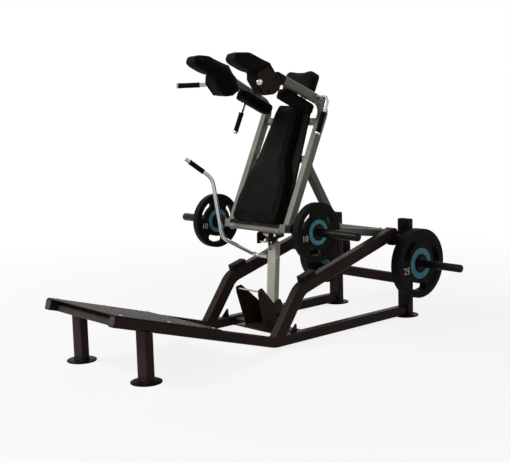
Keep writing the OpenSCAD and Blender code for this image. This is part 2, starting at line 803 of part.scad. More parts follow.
module prop_head() {
  // Block on the post, its front edge right under the roller
  front = roller[0] - 1;
  rear = roller[0] + 54;
  low = prop_z + prop_len * cos(prop_lean) + prop_d / 2 * sin(prop_lean);
  top = roller_z - roller_d / 2 - fit;
  chamfer = 2;
  color(frame_colour) in_frame() {
    translate([-head_w / 2, 0, 0]) rotate([90, 0, 90]) linear_extrude(head_w)
      polygon([[front, low], [front, top - chamfer], [front + chamfer, top], [rear, top],
        [rear, low]]);
    in_prop() translate([0, 0, prop_len]) linear_extrude(6)
      rounded_rect(prop_w, prop_d, tube_corner);
  }
}
release_bend = 45;
release_bare = 30;
release_path = [
  [-prop_w / 2, -885, 472], [-prop_w / 2 - 130, -885, 472], [-200, -1122, 602], [-233, -1160, 972],
  [-302, -1307, 1097]];
module release_handle() {
  color(chrome_colour) in_frame() bar(eased(release_path, release_bend), bar_d / 2, [0, 1, 0]);
}
module release_grip() {
  tip = release_path[4];
  back = unit(release_path[3] - tip);
  color(rubber_colour) in_frame() grip_on(release_path[3], tip + release_bare * back, 0.82 * grip_len);
}

// Weight plates: a rim and a hub joined by a thinner web with three grip slots
module weight_plate(at, d, t, inner, side) {
  rim = 0.1 * d;
  hub = 1.9 * horn_d;
  web = 0.8 * t;
  slot_r = 0.345 * d;
  slot_w = 0.11 * d;
  slot_half = 20;
  slot_turn = 110;
  x0 = side > 0 ? inner : -inner - t;
  color(rubber_colour) in_frame() translate([x0, at[0], at[1]]) rotate([0, 90, 0]) difference() {
    union() {
      difference() {
        cylinder(d = d, h = t);
        translate([0, 0, -1]) cylinder(d = d - 2 * rim, h = t + 2);
      }
      translate([0, 0, (t - web) / 2]) cylinder(d = d - rim, h = web);
      cylinder(d = hub, h = t);
    }
    translate([0, 0, -1]) cylinder(d = horn_d + 2 * plate_gap, h = t + 2);
    for (k = [0:2]) rotate([0, 0, 120 * k + slot_turn]) {
      rotate([0, 0, -slot_half]) rotate_extrude(angle = 2 * slot_half)
        translate([slot_r - slot_w / 2, -1]) square([slot_w, t + 2]);
      for (end = [-1, 1]) rotate([0, 0, end * slot_half]) translate([slot_r, 0, -1])
        cylinder(d = slot_w, h = t + 2);
    }
  }
}
module small_plate_left() {
  weight_plate(horn_axis, small_plate_d, small_plate_t, small_plate_x, 1);
}
module small_plate_right() {
  weight_plate(horn_axis, small_plate_d, small_plate_t, small_plate_x, -1);
}
module big_plate_left() {
  weight_plate([0, store_horn_z], big_plate_d, big_plate_t, big_plate_x, 1);
}
module big_plate_right() {
  weight_plate([0, store_horn_z], big_plate_d, big_plate_t, big_plate_x, -1);
}

// Every piece, drawn alone or together
rail_left();
rail_right();
upright_left();
upright_right();
base_end_caps();
rear_crossmember();
floor_crossmember();
stay_left();
stay_right();
pivot_housings();
pivot_bushes();
bumpers();
feet();
leg_left();
leg_right();
platform_plate();
platform_crossbar();
platform_bolts();
storage_horn_left();
storage_horn_right();
prop_yoke();
stop_rod();
prop_hinge_pin();
lever_arm_left();
lever_arm_right();
back_beam_left();
back_beam_right();
strut_left();
strut_right();
pivot_sleeve();
pivot_shaft();
front_cross_tube();
lever_crossbar();
back_crossbars();
back_board();
back_pad();
head_bracket();
head_pad();
pad_brackets();
front_pad_left();
front_pad_right();
rear_pad_left();
rear_pad_right();
front_handles();
front_grips();
rear_handles();
rear_grips();
handle_caps();
loading_horn_left();
loading_horn_right();
catch_bracket();
catch_roller();
prop_post();
prop_head();
release_handle();
release_grip();
small_plate_left();
small_plate_right();
big_plate_left();
big_plate_right();
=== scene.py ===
# %% [markdown]
# # A lever squat machine
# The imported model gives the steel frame, the joints and the sizes. This file dresses it: paint, chrome,
# vinyl cushions, rubber plates and the small fittings. Everything is in metres in the model's own frame,
# where +Z is up, the foot platform points along -Y and the user's left is +X.

# %% Load the frame
import json
import math
import bmesh
import bpy
import numpy as np
from mathutils import Matrix, Vector
from mathutils.bvhtree import BVHTree


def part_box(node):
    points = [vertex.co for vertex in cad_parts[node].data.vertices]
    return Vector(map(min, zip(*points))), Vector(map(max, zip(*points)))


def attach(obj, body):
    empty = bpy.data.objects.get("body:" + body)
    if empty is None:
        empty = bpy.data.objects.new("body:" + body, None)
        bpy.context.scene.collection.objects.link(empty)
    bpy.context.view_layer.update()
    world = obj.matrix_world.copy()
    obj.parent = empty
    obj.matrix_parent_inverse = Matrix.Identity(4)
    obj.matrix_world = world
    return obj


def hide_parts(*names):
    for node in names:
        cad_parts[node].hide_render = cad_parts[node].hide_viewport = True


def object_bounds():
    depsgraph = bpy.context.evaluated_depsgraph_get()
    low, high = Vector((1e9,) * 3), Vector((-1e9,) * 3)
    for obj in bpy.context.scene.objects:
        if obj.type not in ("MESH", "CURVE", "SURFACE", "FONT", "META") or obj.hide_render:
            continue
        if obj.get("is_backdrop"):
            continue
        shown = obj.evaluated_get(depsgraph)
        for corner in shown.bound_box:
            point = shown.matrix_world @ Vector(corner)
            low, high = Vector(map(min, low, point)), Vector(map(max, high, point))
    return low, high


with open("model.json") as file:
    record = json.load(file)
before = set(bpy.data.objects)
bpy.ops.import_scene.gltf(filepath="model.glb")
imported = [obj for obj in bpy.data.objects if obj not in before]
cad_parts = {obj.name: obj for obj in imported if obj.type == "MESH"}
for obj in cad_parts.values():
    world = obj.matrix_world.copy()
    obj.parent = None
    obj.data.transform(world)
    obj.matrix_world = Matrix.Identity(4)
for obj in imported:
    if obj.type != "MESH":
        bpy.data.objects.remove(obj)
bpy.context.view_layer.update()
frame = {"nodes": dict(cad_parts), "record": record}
nodes = frame["nodes"]
joints = frame["record"]["behaviour"]["joints"]
joint_at = {j["name"]: np.array(j.get("pos_m", (0, 0, 0)), float) for j in joints}

# %% [markdown]
# ## Places to build from
# A few driving sizes locate every fitting. The carriage leans, so it has its own axes: forward from the
# back beams and up along them. The platform has its own too: back along the slope and square up from it.
# Each piece could be built flat and turned into place, but points worked out along these axes are in place
# at once.

# %% Driving sizes
RAIL_X = 0.316
RAIL = 0.060
RAIL_FLOOR_LEN = 1.190
RAIL_RAMP_LEN = 1.130
RAIL_MIDDLE_Z = 0.042
PIVOT_AHEAD = 0.145
FRAME_X = 0.250
TUBE = 0.050
BEAM_ON_LEVER = 0.856
HORN_ON_LEVER = 0.822
STORE_HORN_Z = 0.363
LEVER_RISE = math.radians(7.8)
BACK_LEAN = math.radians(25)
RAMP = math.radians(16.2)
SIDES = (1, -1)
WORD = {1: "left", -1: "right"}
X_AXIS = np.array((1.0, 0, 0))
Y_AXIS = np.array((0, 1.0, 0))
Z_AXIS = np.array((0, 0, 1.0))


def tilted(angle):
    """Forward and up directions, both tipped back by an angle."""
    return np.array((0, -math.cos(angle), math.sin(angle))), np.array((0, math.sin(angle), math.cos(angle)))


LEVER, LEVER_UP = tilted(LEVER_RISE)
BACK_FORWARD, BACK_UP = tilted(BACK_LEAN)
RAMP_AHEAD, RAMP_UP = tilted(RAMP)
RAMP_BACK = -RAMP_AHEAD
PIVOT = joint_at["carriage_lift"]
HINGE = joint_at["prop_swing"]
BEAM_FOOT = PIVOT + BEAM_ON_LEVER * LEVER
HORN = PIVOT + HORN_ON_LEVER * LEVER
REAR_Y = PIVOT[1] + PIVOT_AHEAD
STORE_HORN = np.array((0, REAR_Y, STORE_HORN_Z))
RAIL_END = np.array((0, REAR_Y - RAIL_FLOOR_LEN, RAIL_MIDDLE_Z)) + RAIL_RAMP_LEN * RAMP_AHEAD


def on_back(x, forward, up):
    """Points on the carriage: side, then forward from the beams, then up along them."""
    out = np.multiply.outer
    return BEAM_FOOT + out(x, X_AXIS) + out(forward, BACK_FORWARD) + out(up, BACK_UP)


def on_ramp(x, back, height):
    """Points on the platform: side, then back along the slope, then square up from the rails' middle."""
    out = np.multiply.outer
    return RAIL_END + out(x, X_AXIS) + out(back, RAMP_BACK) + out(height, RAMP_UP)


print("pivot", PIVOT.round(3), "rail end", RAIL_END.round(3))

# %% [markdown]
# ## Surfaces from arrays
# A shape could be pushed and pulled by hand or cut from Blender's primitives. Here each one is a formula on
# a grid, worked out as one array of points, because its sizes stay exact and are easy to change. One
# function makes the mesh, closes doubled points and turns the faces outwards.

# %% Mesh makers
MERGE = 2e-6
COPY_MERGE = 1e-5
THIN = 1e-6
CREASE = 35
SOFT_CREASE = 80


def add_object(name, data):
    """Object linked into the scene."""
    thing = bpy.data.objects.new(name, data)
    bpy.context.scene.collection.objects.link(thing)
    return thing


def set_all(thing, **settings):
    """Sets several properties of one thing."""
    for key, value in settings.items():
        setattr(thing, key, value)
    return thing


def modify(piece, name, kind, **settings):
    """Modifier on a piece, with its settings."""
    return set_all(piece.modifiers.new(name, kind), **settings)


def merge(mesh, distance, thin=0.0, outwards=True):
    """Closes doubled points, drops faces thinner than thin and turns the rest outwards."""
    work = bmesh.new()
    work.from_mesh(mesh)
    bmesh.ops.remove_doubles(work, verts=work.verts, dist=distance)
    if thin:
        bmesh.ops.dissolve_degenerate(work, edges=work.edges, dist=thin)
    if outwards:
        bmesh.ops.recalc_face_normals(work, faces=work.faces)
    work.to_mesh(mesh)
    work.free()


def add_piece(name, mesh, finish, body, hides=(), smooth=True, crease=CREASE):
    """Object that shades smoothly up to a crease angle, painted, riding on a body and hiding CAD nodes."""
    mesh.materials.clear()
    mesh.materials.append(finish)
    mesh.polygons.foreach_set("use_smooth", np.full(len(mesh.polygons), smooth))
    if smooth:
        mesh.set_sharp_from_angle(angle=math.radians(crease))
    piece = add_object(name, mesh)
    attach(piece, body)
    if hides:
        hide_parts(*hides)
    print(name, len(mesh.polygons), "faces on", body)
    return piece


def put_mesh(name, shapes, finish, body, hides=(), smooth=True, crease=CREASE):
    """One piece from several shapes, each a pair of points and faces."""
    points = []
    faces = []
    count = 0
    for shape_points, shape_faces in shapes:
        flat = np.asarray(shape_points, float).reshape(-1, 3)
        points.append(flat)
        faces += [[i + count for i in f] for f in shape_faces]
        count += len(flat)
    mesh = bpy.data.meshes.new(name)
    mesh.from_pydata(np.concatenate(points).tolist(), [], faces)
    merge(mesh, MERGE, THIN)
    return add_piece(name, mesh, finish, body, hides, smooth, crease)


# %% [markdown]
# ## Bars, lathe shapes and plates
# Most fittings are one of three things: a round bar that bends, a turned part such as a foot or a knob, and
# a flat plate with rounded edges. Curve objects and a screw modifier could make the first two, but arrays
# give all three the same form, so that any of them can be joined into one piece.

# %% Directions and faces
def unit(vectors):
    """Vectors brought to length one."""
    return vectors / np.linalg.norm(vectors, axis=-1, keepdims=True)


def grid_faces(rows, columns, loop=False, capped=False):
    """Quads of a grid that closes around its columns, and around its rows too when loop is set.
    capped adds a face over the first row and one over the last."""
    steps = rows if loop else rows - 1
    r, c = np.meshgrid(np.arange(steps), np.arange(columns), indexing="ij")
    after = (c + 1) % columns
    row = r * columns
    below = (r + 1) % rows * columns
    quads = np.stack([row + c, row + after, below + after, below + c], -1)
    faces = quads.reshape(-1, 4).tolist()
    if capped:
        faces.append(list(range(columns)))
        faces.append(list(range((rows - 1) * columns, rows * columns)))
    return faces


def repeated(faces, points, copies):
    """Faces of many copies of one shape, with so many points in each."""
    return [[i + k * points for i in f] for k in range(copies) for f in faces]


def full_turn(count):
    """Even angles around a circle."""
    return np.linspace(0, 2 * math.pi, count, endpoint=False)


# %% Bars and lathe shapes
def tube(path, radius, side, sides=24, loop=False):
    """Round bar: a circle carried along a path. Each step keeps the last one's start, laid square to the new
    direction, so the bar doesn't twist."""
    path = np.asarray(path, float)
    if loop:
        along = np.roll(path, -1, 0) - np.roll(path, 1, 0)
    else:
        along = np.gradient(path, axis=0)
    along = unit(along)
    if loop:
        a = unit(np.cross(along, side))
    else:
        start = np.cross(along[0], side)
        a = np.empty_like(path)
        for i, way in enumerate(along):
            start = unit(start - way * np.dot(start, way))
            a[i] = start
    b = np.cross(along, a)
    turn = full_turn(sides)
    wide = np.broadcast_to(np.asarray(radius, float), (len(path),))[:, None, None]
    circle = np.cos(turn)[None, :, None] * a[:, None] + np.sin(turn)[None, :, None] * b[:, None]
    points = path[:, None] + wide * circle
    return points, grid_faces(len(path), sides, loop, capped=not loop)


def bent_path(points, reach, steps=8):
    """Straight runs with each corner rounded by a quadratic curve that starts reach before it."""
    points = np.asarray(points, float)
    t = np.linspace(0, 1, steps)[:, None]
    path = [points[:1], points[:1] + 0.002 * (points[1] - points[0])]
    for before, corner, after in zip(points, points[1:], points[2:]):
        a = corner - reach * unit(corner - before)
        b = corner + reach * unit(after - corner)
        path.append((1 - t) ** 2 * a + 2 * t * (1 - t) * corner + t**2 * b)
    path.append(points[-1:])
    return np.concatenate(path)


def turned(profile, base, axis, sides=48):
    """Lathe shape: a profile of (distance along the axis, radius) turned once around it."""
    profile = np.asarray(profile, float)
    axis = unit(axis)
    a = unit(np.cross(axis, Z_AXIS if abs(axis[2]) < 0.9 else X_AXIS))
    b = np.cross(axis, a)
    turn = full_turn(sides)
    circle = np.cos(turn)[:, None] * a + np.sin(turn)[:, None] * b
    points = base + profile[:, 0, None, None] * axis + profile[:, 1, None, None] * circle[None]
    faces = grid_faces(len(profile), sides)
    for row in (0, len(profile) - 1):
        if profile[row, 1] > THIN:
            faces.append([row * sides + i for i in range(sides)])
    return points, faces


# %% Outlines and plates
def rounded_outline(width, height, radius, steps=6):
    """Rectangle with round corners, as points around its middle."""
    turn = np.linspace(0, math.pi / 2, steps)
    corners = []
    for k, (sx, sy) in enumerate(((1, 1), (-1, 1), (-1, -1), (1, -1))):
        centre = np.array((sx * (width / 2 - radius), sy * (height / 2 - radius)))
        angle = turn + k * math.pi / 2
        corners.append(centre + radius * np.stack([np.cos(angle), np.sin(angle)], 1))
    return np.concatenate(corners)


def polygon_outline(count, radius):
    """Regular polygon around its middle."""
    turn = full_turn(count)
    return radius * np.stack([np.cos(turn), np.sin(turn)], 1)


def slab(outline, depth, bevel, origin, across, up, steps=3):
    """Plate with rounded edges: an outline in the plane of across and up, carried square to it."""
    outline = np.asarray(outline, float)
    out = np.cross(across, up)
    turn = np.linspace(0, math.pi / 2, steps + 1)
    inset = np.concatenate([bevel * (1 - np.sin(turn)), bevel * (1 - np.cos(turn))])
    level = np.concatenate([bevel * (1 - np.cos(turn)), depth - bevel * (1 - np.sin(turn))])
    ahead = np.roll(outline, -1, 0) - outline
    before = outline - np.roll(outline, 1, 0)
    normal = np.stack([ahead[:, 1] + before[:, 1], -ahead[:, 0] - before[:, 0]], 1)
    normal /= np.linalg.norm(normal, axis=1, keepdims=True) + 1e-12
    area = np.sum(outline[:, 0] * np.roll(outline[:, 1], -1) - np.roll(outline[:, 0], -1) * outline[:, 1])
    flat = outline[None] - math.copysign(1, area) * inset[:, None, None] * normal[None]
    points = origin + flat[..., :1] * across + flat[..., 1:] * up + level[:, None, None] * out
    return points, grid_faces(*points.shape[:2], capped=True)


# %% [markdown]
# ## Finishes
# Powder coat has a fine orange peel, the silver paint has flakes, vinyl has a leather-like grain, and
# rubber is dusty and rough. Pictures could carry all that, but nodes that read Object coordinates give a
# grain of a real size on any piece, with nothing to unwrap.

# %% Node helpers
def feed(tree, node, inputs):
    """Fills a node's inputs: an output of another node is linked, and anything else is set as the value."""
    for key, value in inputs.items():
        if isinstance(value, bpy.types.NodeSocket):
            tree.links.new(value, node.inputs[key])
        else:
            node.inputs[key].default_value = value


def add_node(tree, kind, inputs, **settings):
    """New shader node with its settings and inputs."""
    node = set_all(tree.nodes.new("ShaderNode" + kind), **settings)
    feed(tree, node, inputs)
    return node


def new_finish(name, colour, roughness, metallic=0.0, coat=0.0, specular=0.5):
    """Principled material with its plain sockets set, and its node tree ready to extend."""
    material = bpy.data.materials.new(name)
    material.use_nodes = True
    tree = material.node_tree
    shader = tree.nodes["Principled BSDF"]
    feed(tree, shader, {"Base Color": (*colour, 1), "Roughness": roughness, "Metallic": metallic,
                        "Coat Weight": coat, "Coat Roughness": 0.25, "Specular IOR Level": specular})
    return material, tree, shader, add_node(tree, "TexCoord", {}).outputs["Object"]


def noise(tree, coords, scale, detail, rough=0.55):
    """Noise texture at a scale per metre."""
    inputs = {"Vector": coords, "Scale": scale, "Detail": detail, "Roughness": rough}
    return add_node(tree, "TexNoise", inputs).outputs["Fac"]


def ramp(tree, value, stops):
    """Colour ramp through (place, colour) stops."""
    node = add_node(tree, "ValToRGB", {"Fac": value})
    for element, (place, colour) in zip(node.color_ramp.elements, stops):
        element.position = place
        element.color = (*colour, 1)
    return node.outputs["Color"]


def spread(tree, value, low, high):
    """Maps a texture's middle range onto low to high."""
    inputs = {"Value": value, "From Min": 0.3, "From Max": 0.7, "To Min": low, "To Max": high}
    return add_node(tree, "MapRange", inputs).outputs["Result"]


def bump(tree, shader, height, distance, strength, below=None):
    """Bump from a height, on top of another bump where one is given."""
    inputs = {"Height": height, "Distance": distance, "Strength": strength}
    if below is not None:
        inputs["Normal"] = below
    normal = add_node(tree, "Bump", inputs).outputs["Normal"]
    feed(tree, shader, {"Normal": normal})
    return normal


def shade(colour, factor):
    """Colour made lighter or darker."""
    return tuple(min(1.0, c * factor) for c in colour)


# %% Paint and chrome
def powder_coat(name, colour, roughness, specular, metallic=0.0, coat=0.0):
    """Baked paint: drifting tone, pale flecks and a fine orange peel."""
    material, tree, shader, coords = new_finish(name, colour, roughness, metallic, coat, specular)
    tone = ramp(tree, noise(tree, coords, 5, 4), ((0.3, shade(colour, 0.82)), (0.7, shade(colour, 1.16))))
    flecks = ramp(tree, noise(tree, coords, 900, 1), ((0.62, (0, 0, 0)), (0.74, shade(colour, 0.6))))
    both = add_node(tree, "MixRGB", {"Fac": 1, "Color1": tone, "Color2": flecks}, blend_type="ADD")
    rough = spread(tree, noise(tree, coords, 28, 5), roughness - 0.06, roughness + 0.08)
    feed(tree, shader, {"Base Color": both.outputs["Color"], "Roughness": rough})
    bump(tree, shader, noise(tree, coords, 420, 2), 0.0006, 0.35)
    return material


def chrome_finish(name, colour, roughness):
    """Plated or bare metal with faint smears that change its tone and its roughness."""
    material, tree, shader, coords = new_finish(name, colour, roughness, 1.0)
    smear = noise(tree, coords, 18, 5)
    tone = ramp(tree, smear, ((0.3, shade(colour, 0.90)), (0.7, shade(colour, 1.05))))
    rough = spread(tree, smear, roughness * 0.8, roughness * 1.5)
    feed(tree, shader, {"Base Color": tone, "Roughness": rough})
    return material


# %% Vinyl and rubber
def grained_vinyl(name, colour, roughness):
    """Upholstery vinyl: cells of grain over soft creases, worn shinier in patches."""
    material, tree, shader, coords = new_finish(name, colour, roughness, specular=0.015)
    cells = add_node(tree, "TexVoronoi", {"Vector": coords, "Scale": 620}, feature="DISTANCE_TO_EDGE")
    creases = bump(tree, shader, noise(tree, coords, 60, 4), 0.0012, 0.35)
    bump(tree, shader, cells.outputs["Distance"], 0.0008, 0.45, creases)
    patches = noise(tree, coords, 9, 4)
    tone = ramp(tree, patches, ((0.3, shade(colour, 0.8)), (0.72, shade(colour, 1.35))))
    rough = spread(tree, patches, roughness + 0.08, roughness - 0.08)
    feed(tree, shader, {"Base Color": tone, "Roughness": rough})
    return material


def dusty_rubber(name, colour, roughness, grain):
    """Moulded rubber: fine pebbling and a thin bloom of dust."""
    material, tree, shader, coords = new_finish(name, colour, roughness, specular=0.03)
    bloom = noise(tree, coords, 14, 6, 0.65)
    tone = ramp(tree, bloom, ((0.35, colour), (0.75, shade(colour, 1.7))))
    rough = spread(tree, bloom, roughness - 0.05, roughness + 0.1)
    feed(tree, shader, {"Base Color": tone, "Roughness": rough})
    bump(tree, shader, noise(tree, coords, grain, 2), 0.0007, 0.4)
    return material


# %% The finishes
base_paint = powder_coat("base_paint", (0.0240, 0.0138, 0.0108), 0.32, 0.05)
frame_paint = powder_coat("frame_paint", (0.160, 0.151, 0.129), 0.40, 0.20, 0.06, 0.04)
# lever_painted_shade is frame_paint's silver made darker: painted shade for the shade on the lever arms,
# struts, pivot sleeve and lever crossbar
lever_painted_shade = powder_coat("lever_painted_shade", (0.105, 0.095, 0.080), 0.40, 0.16, 0.06, 0.04)
# post_painted_light is frame_paint's silver made much lighter: painted light for the light falling on the
# prop post's front
post_painted_light = powder_coat("post_painted_light", (0.47, 0.445, 0.375), 0.42, 0.22, 0.04, 0.04)
crossbar_paint = powder_coat("crossbar_paint", (0.044, 0.036, 0.029), 0.45, 0.08)
horn_paint = powder_coat("horn_paint", (0.0085, 0.0076, 0.0070), 0.32, 0.07)
tread_paint = powder_coat("tread_paint", (0.034, 0.0260, 0.0230), 0.42, 0.14)
chrome = chrome_finish("chrome", (0.46, 0.45, 0.43), 0.16)
bare_steel = chrome_finish("bare_steel", (0.30, 0.29, 0.275), 0.30)
bronze = chrome_finish("bronze", (0.50, 0.34, 0.16), 0.30)
vinyl = grained_vinyl("vinyl", (0.0072, 0.0066, 0.0056), 0.50)
vinyl_piping = grained_vinyl("vinyl_piping", (0.0125, 0.0115, 0.0100), 0.48)
thread = dusty_rubber("thread", (0.022, 0.020, 0.018), 0.8, 900)
cap_plastic = dusty_rubber("cap_plastic", (0.060, 0.052, 0.039), 0.5, 500)
cover_plastic = dusty_rubber("cover_plastic", (0.0075, 0.0070, 0.0066), 0.45, 500)
board_plastic = dusty_rubber("board_plastic", (0.0065, 0.0060, 0.0054), 0.55, 700)
grip_rubber = dusty_rubber("grip_rubber", (0.0060, 0.0055, 0.0052), 0.62, 800)
foot_rubber = dusty_rubber("foot_rubber", (0.0060, 0.0055, 0.0052), 0.36, 300)
plate_rubber = dusty_rubber("plate_rubber", (0.0068, 0.0066, 0.0058), 0.50, 600)
teal_paint = dusty_rubber("teal_paint", (0.080, 0.250, 0.305), 0.45, 500)
cream_paint = dusty_rubber("cream_paint", (0.62, 0.58, 0.50), 0.5, 500)
# near-black paint for the post's slot: painted shade where the slot's hollow would be dark
slot_painted_shade = dusty_rubber("slot_painted_shade", (0.004, 0.004, 0.004), 0.7, 500)
print("finishes", len(bpy.data.materials))

# %% [markdown]
# ## Paint on the steel that stays
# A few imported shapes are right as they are: the pivot's parts, two cross tubes and the prop's pins. They
# could be copied as the other tubes are, but little of them shows, so they keep their own meshes and take a
# finish.

# %% Paint the frame
PAINTED = (
    (base_paint, ("pivot_housings",)),
    (frame_paint, ("front_cross_tube",)),
    # the pivot sleeve takes the darker silver copy, which is painted shade
    (lever_painted_shade, ("pivot_sleeve",)),
    (crossbar_paint, ("platform_crossbar",)),
    (chrome, ("stop_rod", "prop_hinge_pin", "catch_roller", "pivot_shaft")),
    (bronze, ("pivot_bushes",)),
)
for finish, names in PAINTED:
    for name in names:
        nodes[name].data.materials.clear()
        nodes[name].data.materials.append(finish)
    print(finish.name, "on", names)


# %% [markdown]
# ## Studio
# The picture has a plain white ground. More light would make it white and would bleach the machine too, so
# the world and the floor look white only to the camera and in reflections. They light the machine at a
# plain level, and the floor still takes a soft shadow.

# %% World
WORLD_LIGHT = 0.15


def larger(tree, first, second):
    """Larger of two values."""
    return add_node(tree, "Math", {0: first, 1: second}, operation="MAXIMUM").outputs["Value"]


def sees_white(tree):
    """Largest of the camera, glossy and transmission ray flags."""
    rays = add_node(tree, "LightPath", {}).outputs
    seen = larger(tree, rays["Is Camera Ray"], rays["Is Glossy Ray"])
    return larger(tree, seen, rays["Is Transmission Ray"])


world = bpy.data.worlds.new("studio")
world.use_nodes = True
bpy.context.scene.world = world
tree = world.node_tree
level = add_node(tree, "MapRange", {"Value": sees_white(tree), "To Min": WORLD_LIGHT, "To Max": 1.0})
feed(tree, tree.nodes["Background"], {"Color": (1, 1, 1, 1), "Strength": level.outputs["Result"]})
print("world light", WORLD_LIGHT)

# %% Floor
FLOOR_HALF = 30.0
FLOOR_Z = -0.0005
FADE_FROM = 1.6
FADE_TO = 4.5
NEAR_WHITE = 0.86
floor_paint, tree, plain, coords = new_finish("floor_paint", (0.70, 0.70, 0.70), 0.9, specular=0.0)
away = add_node(tree, "VectorMath", {0: coords}, operation="LENGTH")
fade = add_node(tree, "MapRange", {"Value": away.outputs["Value"], "From Min": FADE_FROM,
                                   "From Max": FADE_TO, "To Min": NEAR_WHITE, "To Max": 1.0})
share = add_node(tree, "Math", {0: sees_white(tree), 1: fade.outputs["Result"]}, operation="MULTIPLY")
white = add_node(tree, "Emission", {"Strength": 1.0})
mix = add_node(tree, "MixShader", {"Fac": share.outputs["Value"], 1: plain.outputs["BSDF"],
                                   2: white.outputs["Emission"]})
feed(tree, tree.nodes["Material Output"], {"Surface": mix.outputs["Shader"]})
mesh = bpy.data.meshes.new("floor")
corners = [(x * FLOOR_HALF, y * FLOOR_HALF, FLOOR_Z) for x, y in ((-1, -1), (1, -1), (1, 1), (-1, 1))]
mesh.from_pydata(corners, [], [(0, 1, 2, 3)])
mesh.materials.append(floor_paint)
floor = add_object("floor", mesh)
floor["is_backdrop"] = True
print("floor", 2 * FLOOR_HALF, "m wide")

# %% Lamps
LAMP_AIM = Vector((0, 0, 0.8))
LAMPS = (
    ("key", (-2.6, -4.4, 4.6), 2.4, 330),
    ("fill", (4.4, -2.8, 3.2), 1.4, 24),
    ("back", (1.0, 4.2, 3.6), 2.4, 40),
)
for name, place, width, power in LAMPS:
    lamp = bpy.data.lights.new(name, "AREA")
    lamp.size = width
    lamp.energy = power
    stand = add_object(name, lamp)
    stand.location = place
    stand.rotation_mode = "QUATERNION"
    stand.rotation_quaternion = (LAMP_AIM - Vector(place)).to_track_quat("-Z", "Y")
    print(name, "lamp", power, "W")

# %% [markdown]
# ## Camera
# The camera stands where the photograph was taken from: high enough to see the cushions' fronts, off the
# user's left. A tracking constraint could aim it, but it also rolls a little, so its three axes are worked
# out. The picture's middle isn't the lens's, which the shift takes up.

# %% Camera
IMAGE_W = 510
IMAGE_H = 463
FOCAL_PX = 973
LENS_MIDDLE_PX = (271, 237)
CAMERA_AT = np.array((4.404, -4.887 + REAR_Y, 1.451))
CAMERA_AIM = np.array((0.0, -0.900 + REAR_Y, 0.600))
CAMERA_ROLL = math.radians(-1.5)
forward = unit(CAMERA_AIM - CAMERA_AT)
level_right = unit(np.cross(forward, Z_AXIS))
level_up = np.cross(level_right, forward)
right = math.cos(CAMERA_ROLL) * level_right + math.sin(CAMERA_ROLL) * level_up
above = math.cos(CAMERA_ROLL) * level_up - math.sin(CAMERA_ROLL) * level_right
lens = bpy.data.cameras.new("camera")
lens.sensor_fit = "HORIZONTAL"
lens.sensor_width = 36
lens.lens = FOCAL_PX / IMAGE_W * lens.sensor_width
lens.shift_x = -(LENS_MIDDLE_PX[0] - IMAGE_W / 2) / IMAGE_W
lens.shift_y = (LENS_MIDDLE_PX[1] - IMAGE_H / 2) / IMAGE_W
camera = add_object("camera", lens)
turn = Matrix(np.stack([right, above, -forward], 1).tolist()).to_4x4()
camera.matrix_world = Matrix.Translation(CAMERA_AT.tolist()) @ turn
bpy.context.scene.camera = camera
bpy.context.scene.view_settings.view_transform = "Standard"
print("lens", round(lens.lens, 1), "mm")

# %% [markdown]
# ## Foot platform
# A sheet of tread plate lies on the sloped rails. Its raised bars stand in a chequer, each turned a quarter
# against its neighbours. A bump texture could draw them, but they show along the plate's edges, so they are
# real: one small dome, copied over a lattice.

# %% Tread plate
TREAD_HALF = RAIL_X + RAIL / 2
TREAD_LEN = 0.705
TREAD_T = 0.005
TREAD_TOP = RAIL / 2 + TREAD_T
BAR_PITCH = 0.0190
BAR_LONG = 0.0175
BAR_WIDE = 0.0056
BAR_HIGH = 0.0014
BAR_SINK = 0.0002
BAR_SIDES = 12
BAR_RINGS = np.array((1.0, 0.86, 0.6, 0.3))
EDGE_START = (0.016, 0.014)
EDGE_END = 0.010


def tread_bars():
    """Raised bars on a square lattice: a lens-shaped dome of rings, turned 45 degrees either way."""
    turn = full_turn(BAR_SIDES)
    rings = BAR_RINGS[:, None]
    long_way = rings * np.cos(turn) * BAR_LONG / 2
    wide_way = rings * np.sign(np.sin(turn)) * np.abs(np.sin(turn)) ** 1.3 * BAR_WIDE / 2
    height = np.broadcast_to(BAR_HIGH * (1 - rings**3) - BAR_SINK, long_way.shape)
    long_way, wide_way, height = (values.ravel() for values in (long_way, wide_way, height))
    across = np.arange(-TREAD_HALF + EDGE_START[0], TREAD_HALF - EDGE_END, BAR_PITCH)
    along = np.arange(EDGE_START[1], TREAD_LEN - EDGE_END, BAR_PITCH)
    x, y = np.meshgrid(across, along, indexing="ij")
    odd = np.add.outer(np.arange(len(across)), np.arange(len(along))) % 2
    angle = np.where(odd == 1, math.pi / 4, -math.pi / 4).reshape(-1, 1)
    u = np.cos(angle) * long_way - np.sin(angle) * wide_way + x.reshape(-1, 1)
    v = np.sin(angle) * long_way + np.cos(angle) * wide_way + y.reshape(-1, 1)
    points = on_ramp(u, v, TREAD_TOP + np.broadcast_to(height, u.shape))
    faces = grid_faces(len(BAR_RINGS), BAR_SIDES, capped=True)
    print("tread bars", len(u))
    return points, repeated(faces, len(height), len(u))


sheet_outline = rounded_outline(2 * TREAD_HALF, TREAD_LEN, 0.010)
sheet = slab(sheet_outline, TREAD_T, 0.0012, on_ramp(0, TREAD_LEN / 2, RAIL / 2), X_AXIS, RAMP_BACK)
put_mesh("tread_plate", [sheet, tread_bars()], tread_paint, "base", ["platform_plate"])

# %% [markdown]
# ## Caps and feet
# Moulded caps close the tube ends, round covers close the pivot, and each foot is a flanged rubber disc.
# Bevelled boxes and cylinders could stand for them, but a rounded outline carried through its thickness and
# a turned profile give each edge its own curve.

# %% Caps and covers
CAP = 0.006
RIM_SIZE = 0.0605
RAIL_CAP_SIZE = 0.051
UPRIGHT_W = 0.096
UPRIGHT_D = 0.050
UPRIGHT_TOP = 0.640
upright_cap_outline = rounded_outline(UPRIGHT_W + 0.0005, UPRIGHT_D + 0.0005, 0.011)
cover_profile = ((0, 0.0305), (0.002, 0.0315), (0.004, 0.0305), (0.0052, 0.027), (0.0052, 0.016),
                 (0.0068, 0.0145), (0.0072, 0.0))


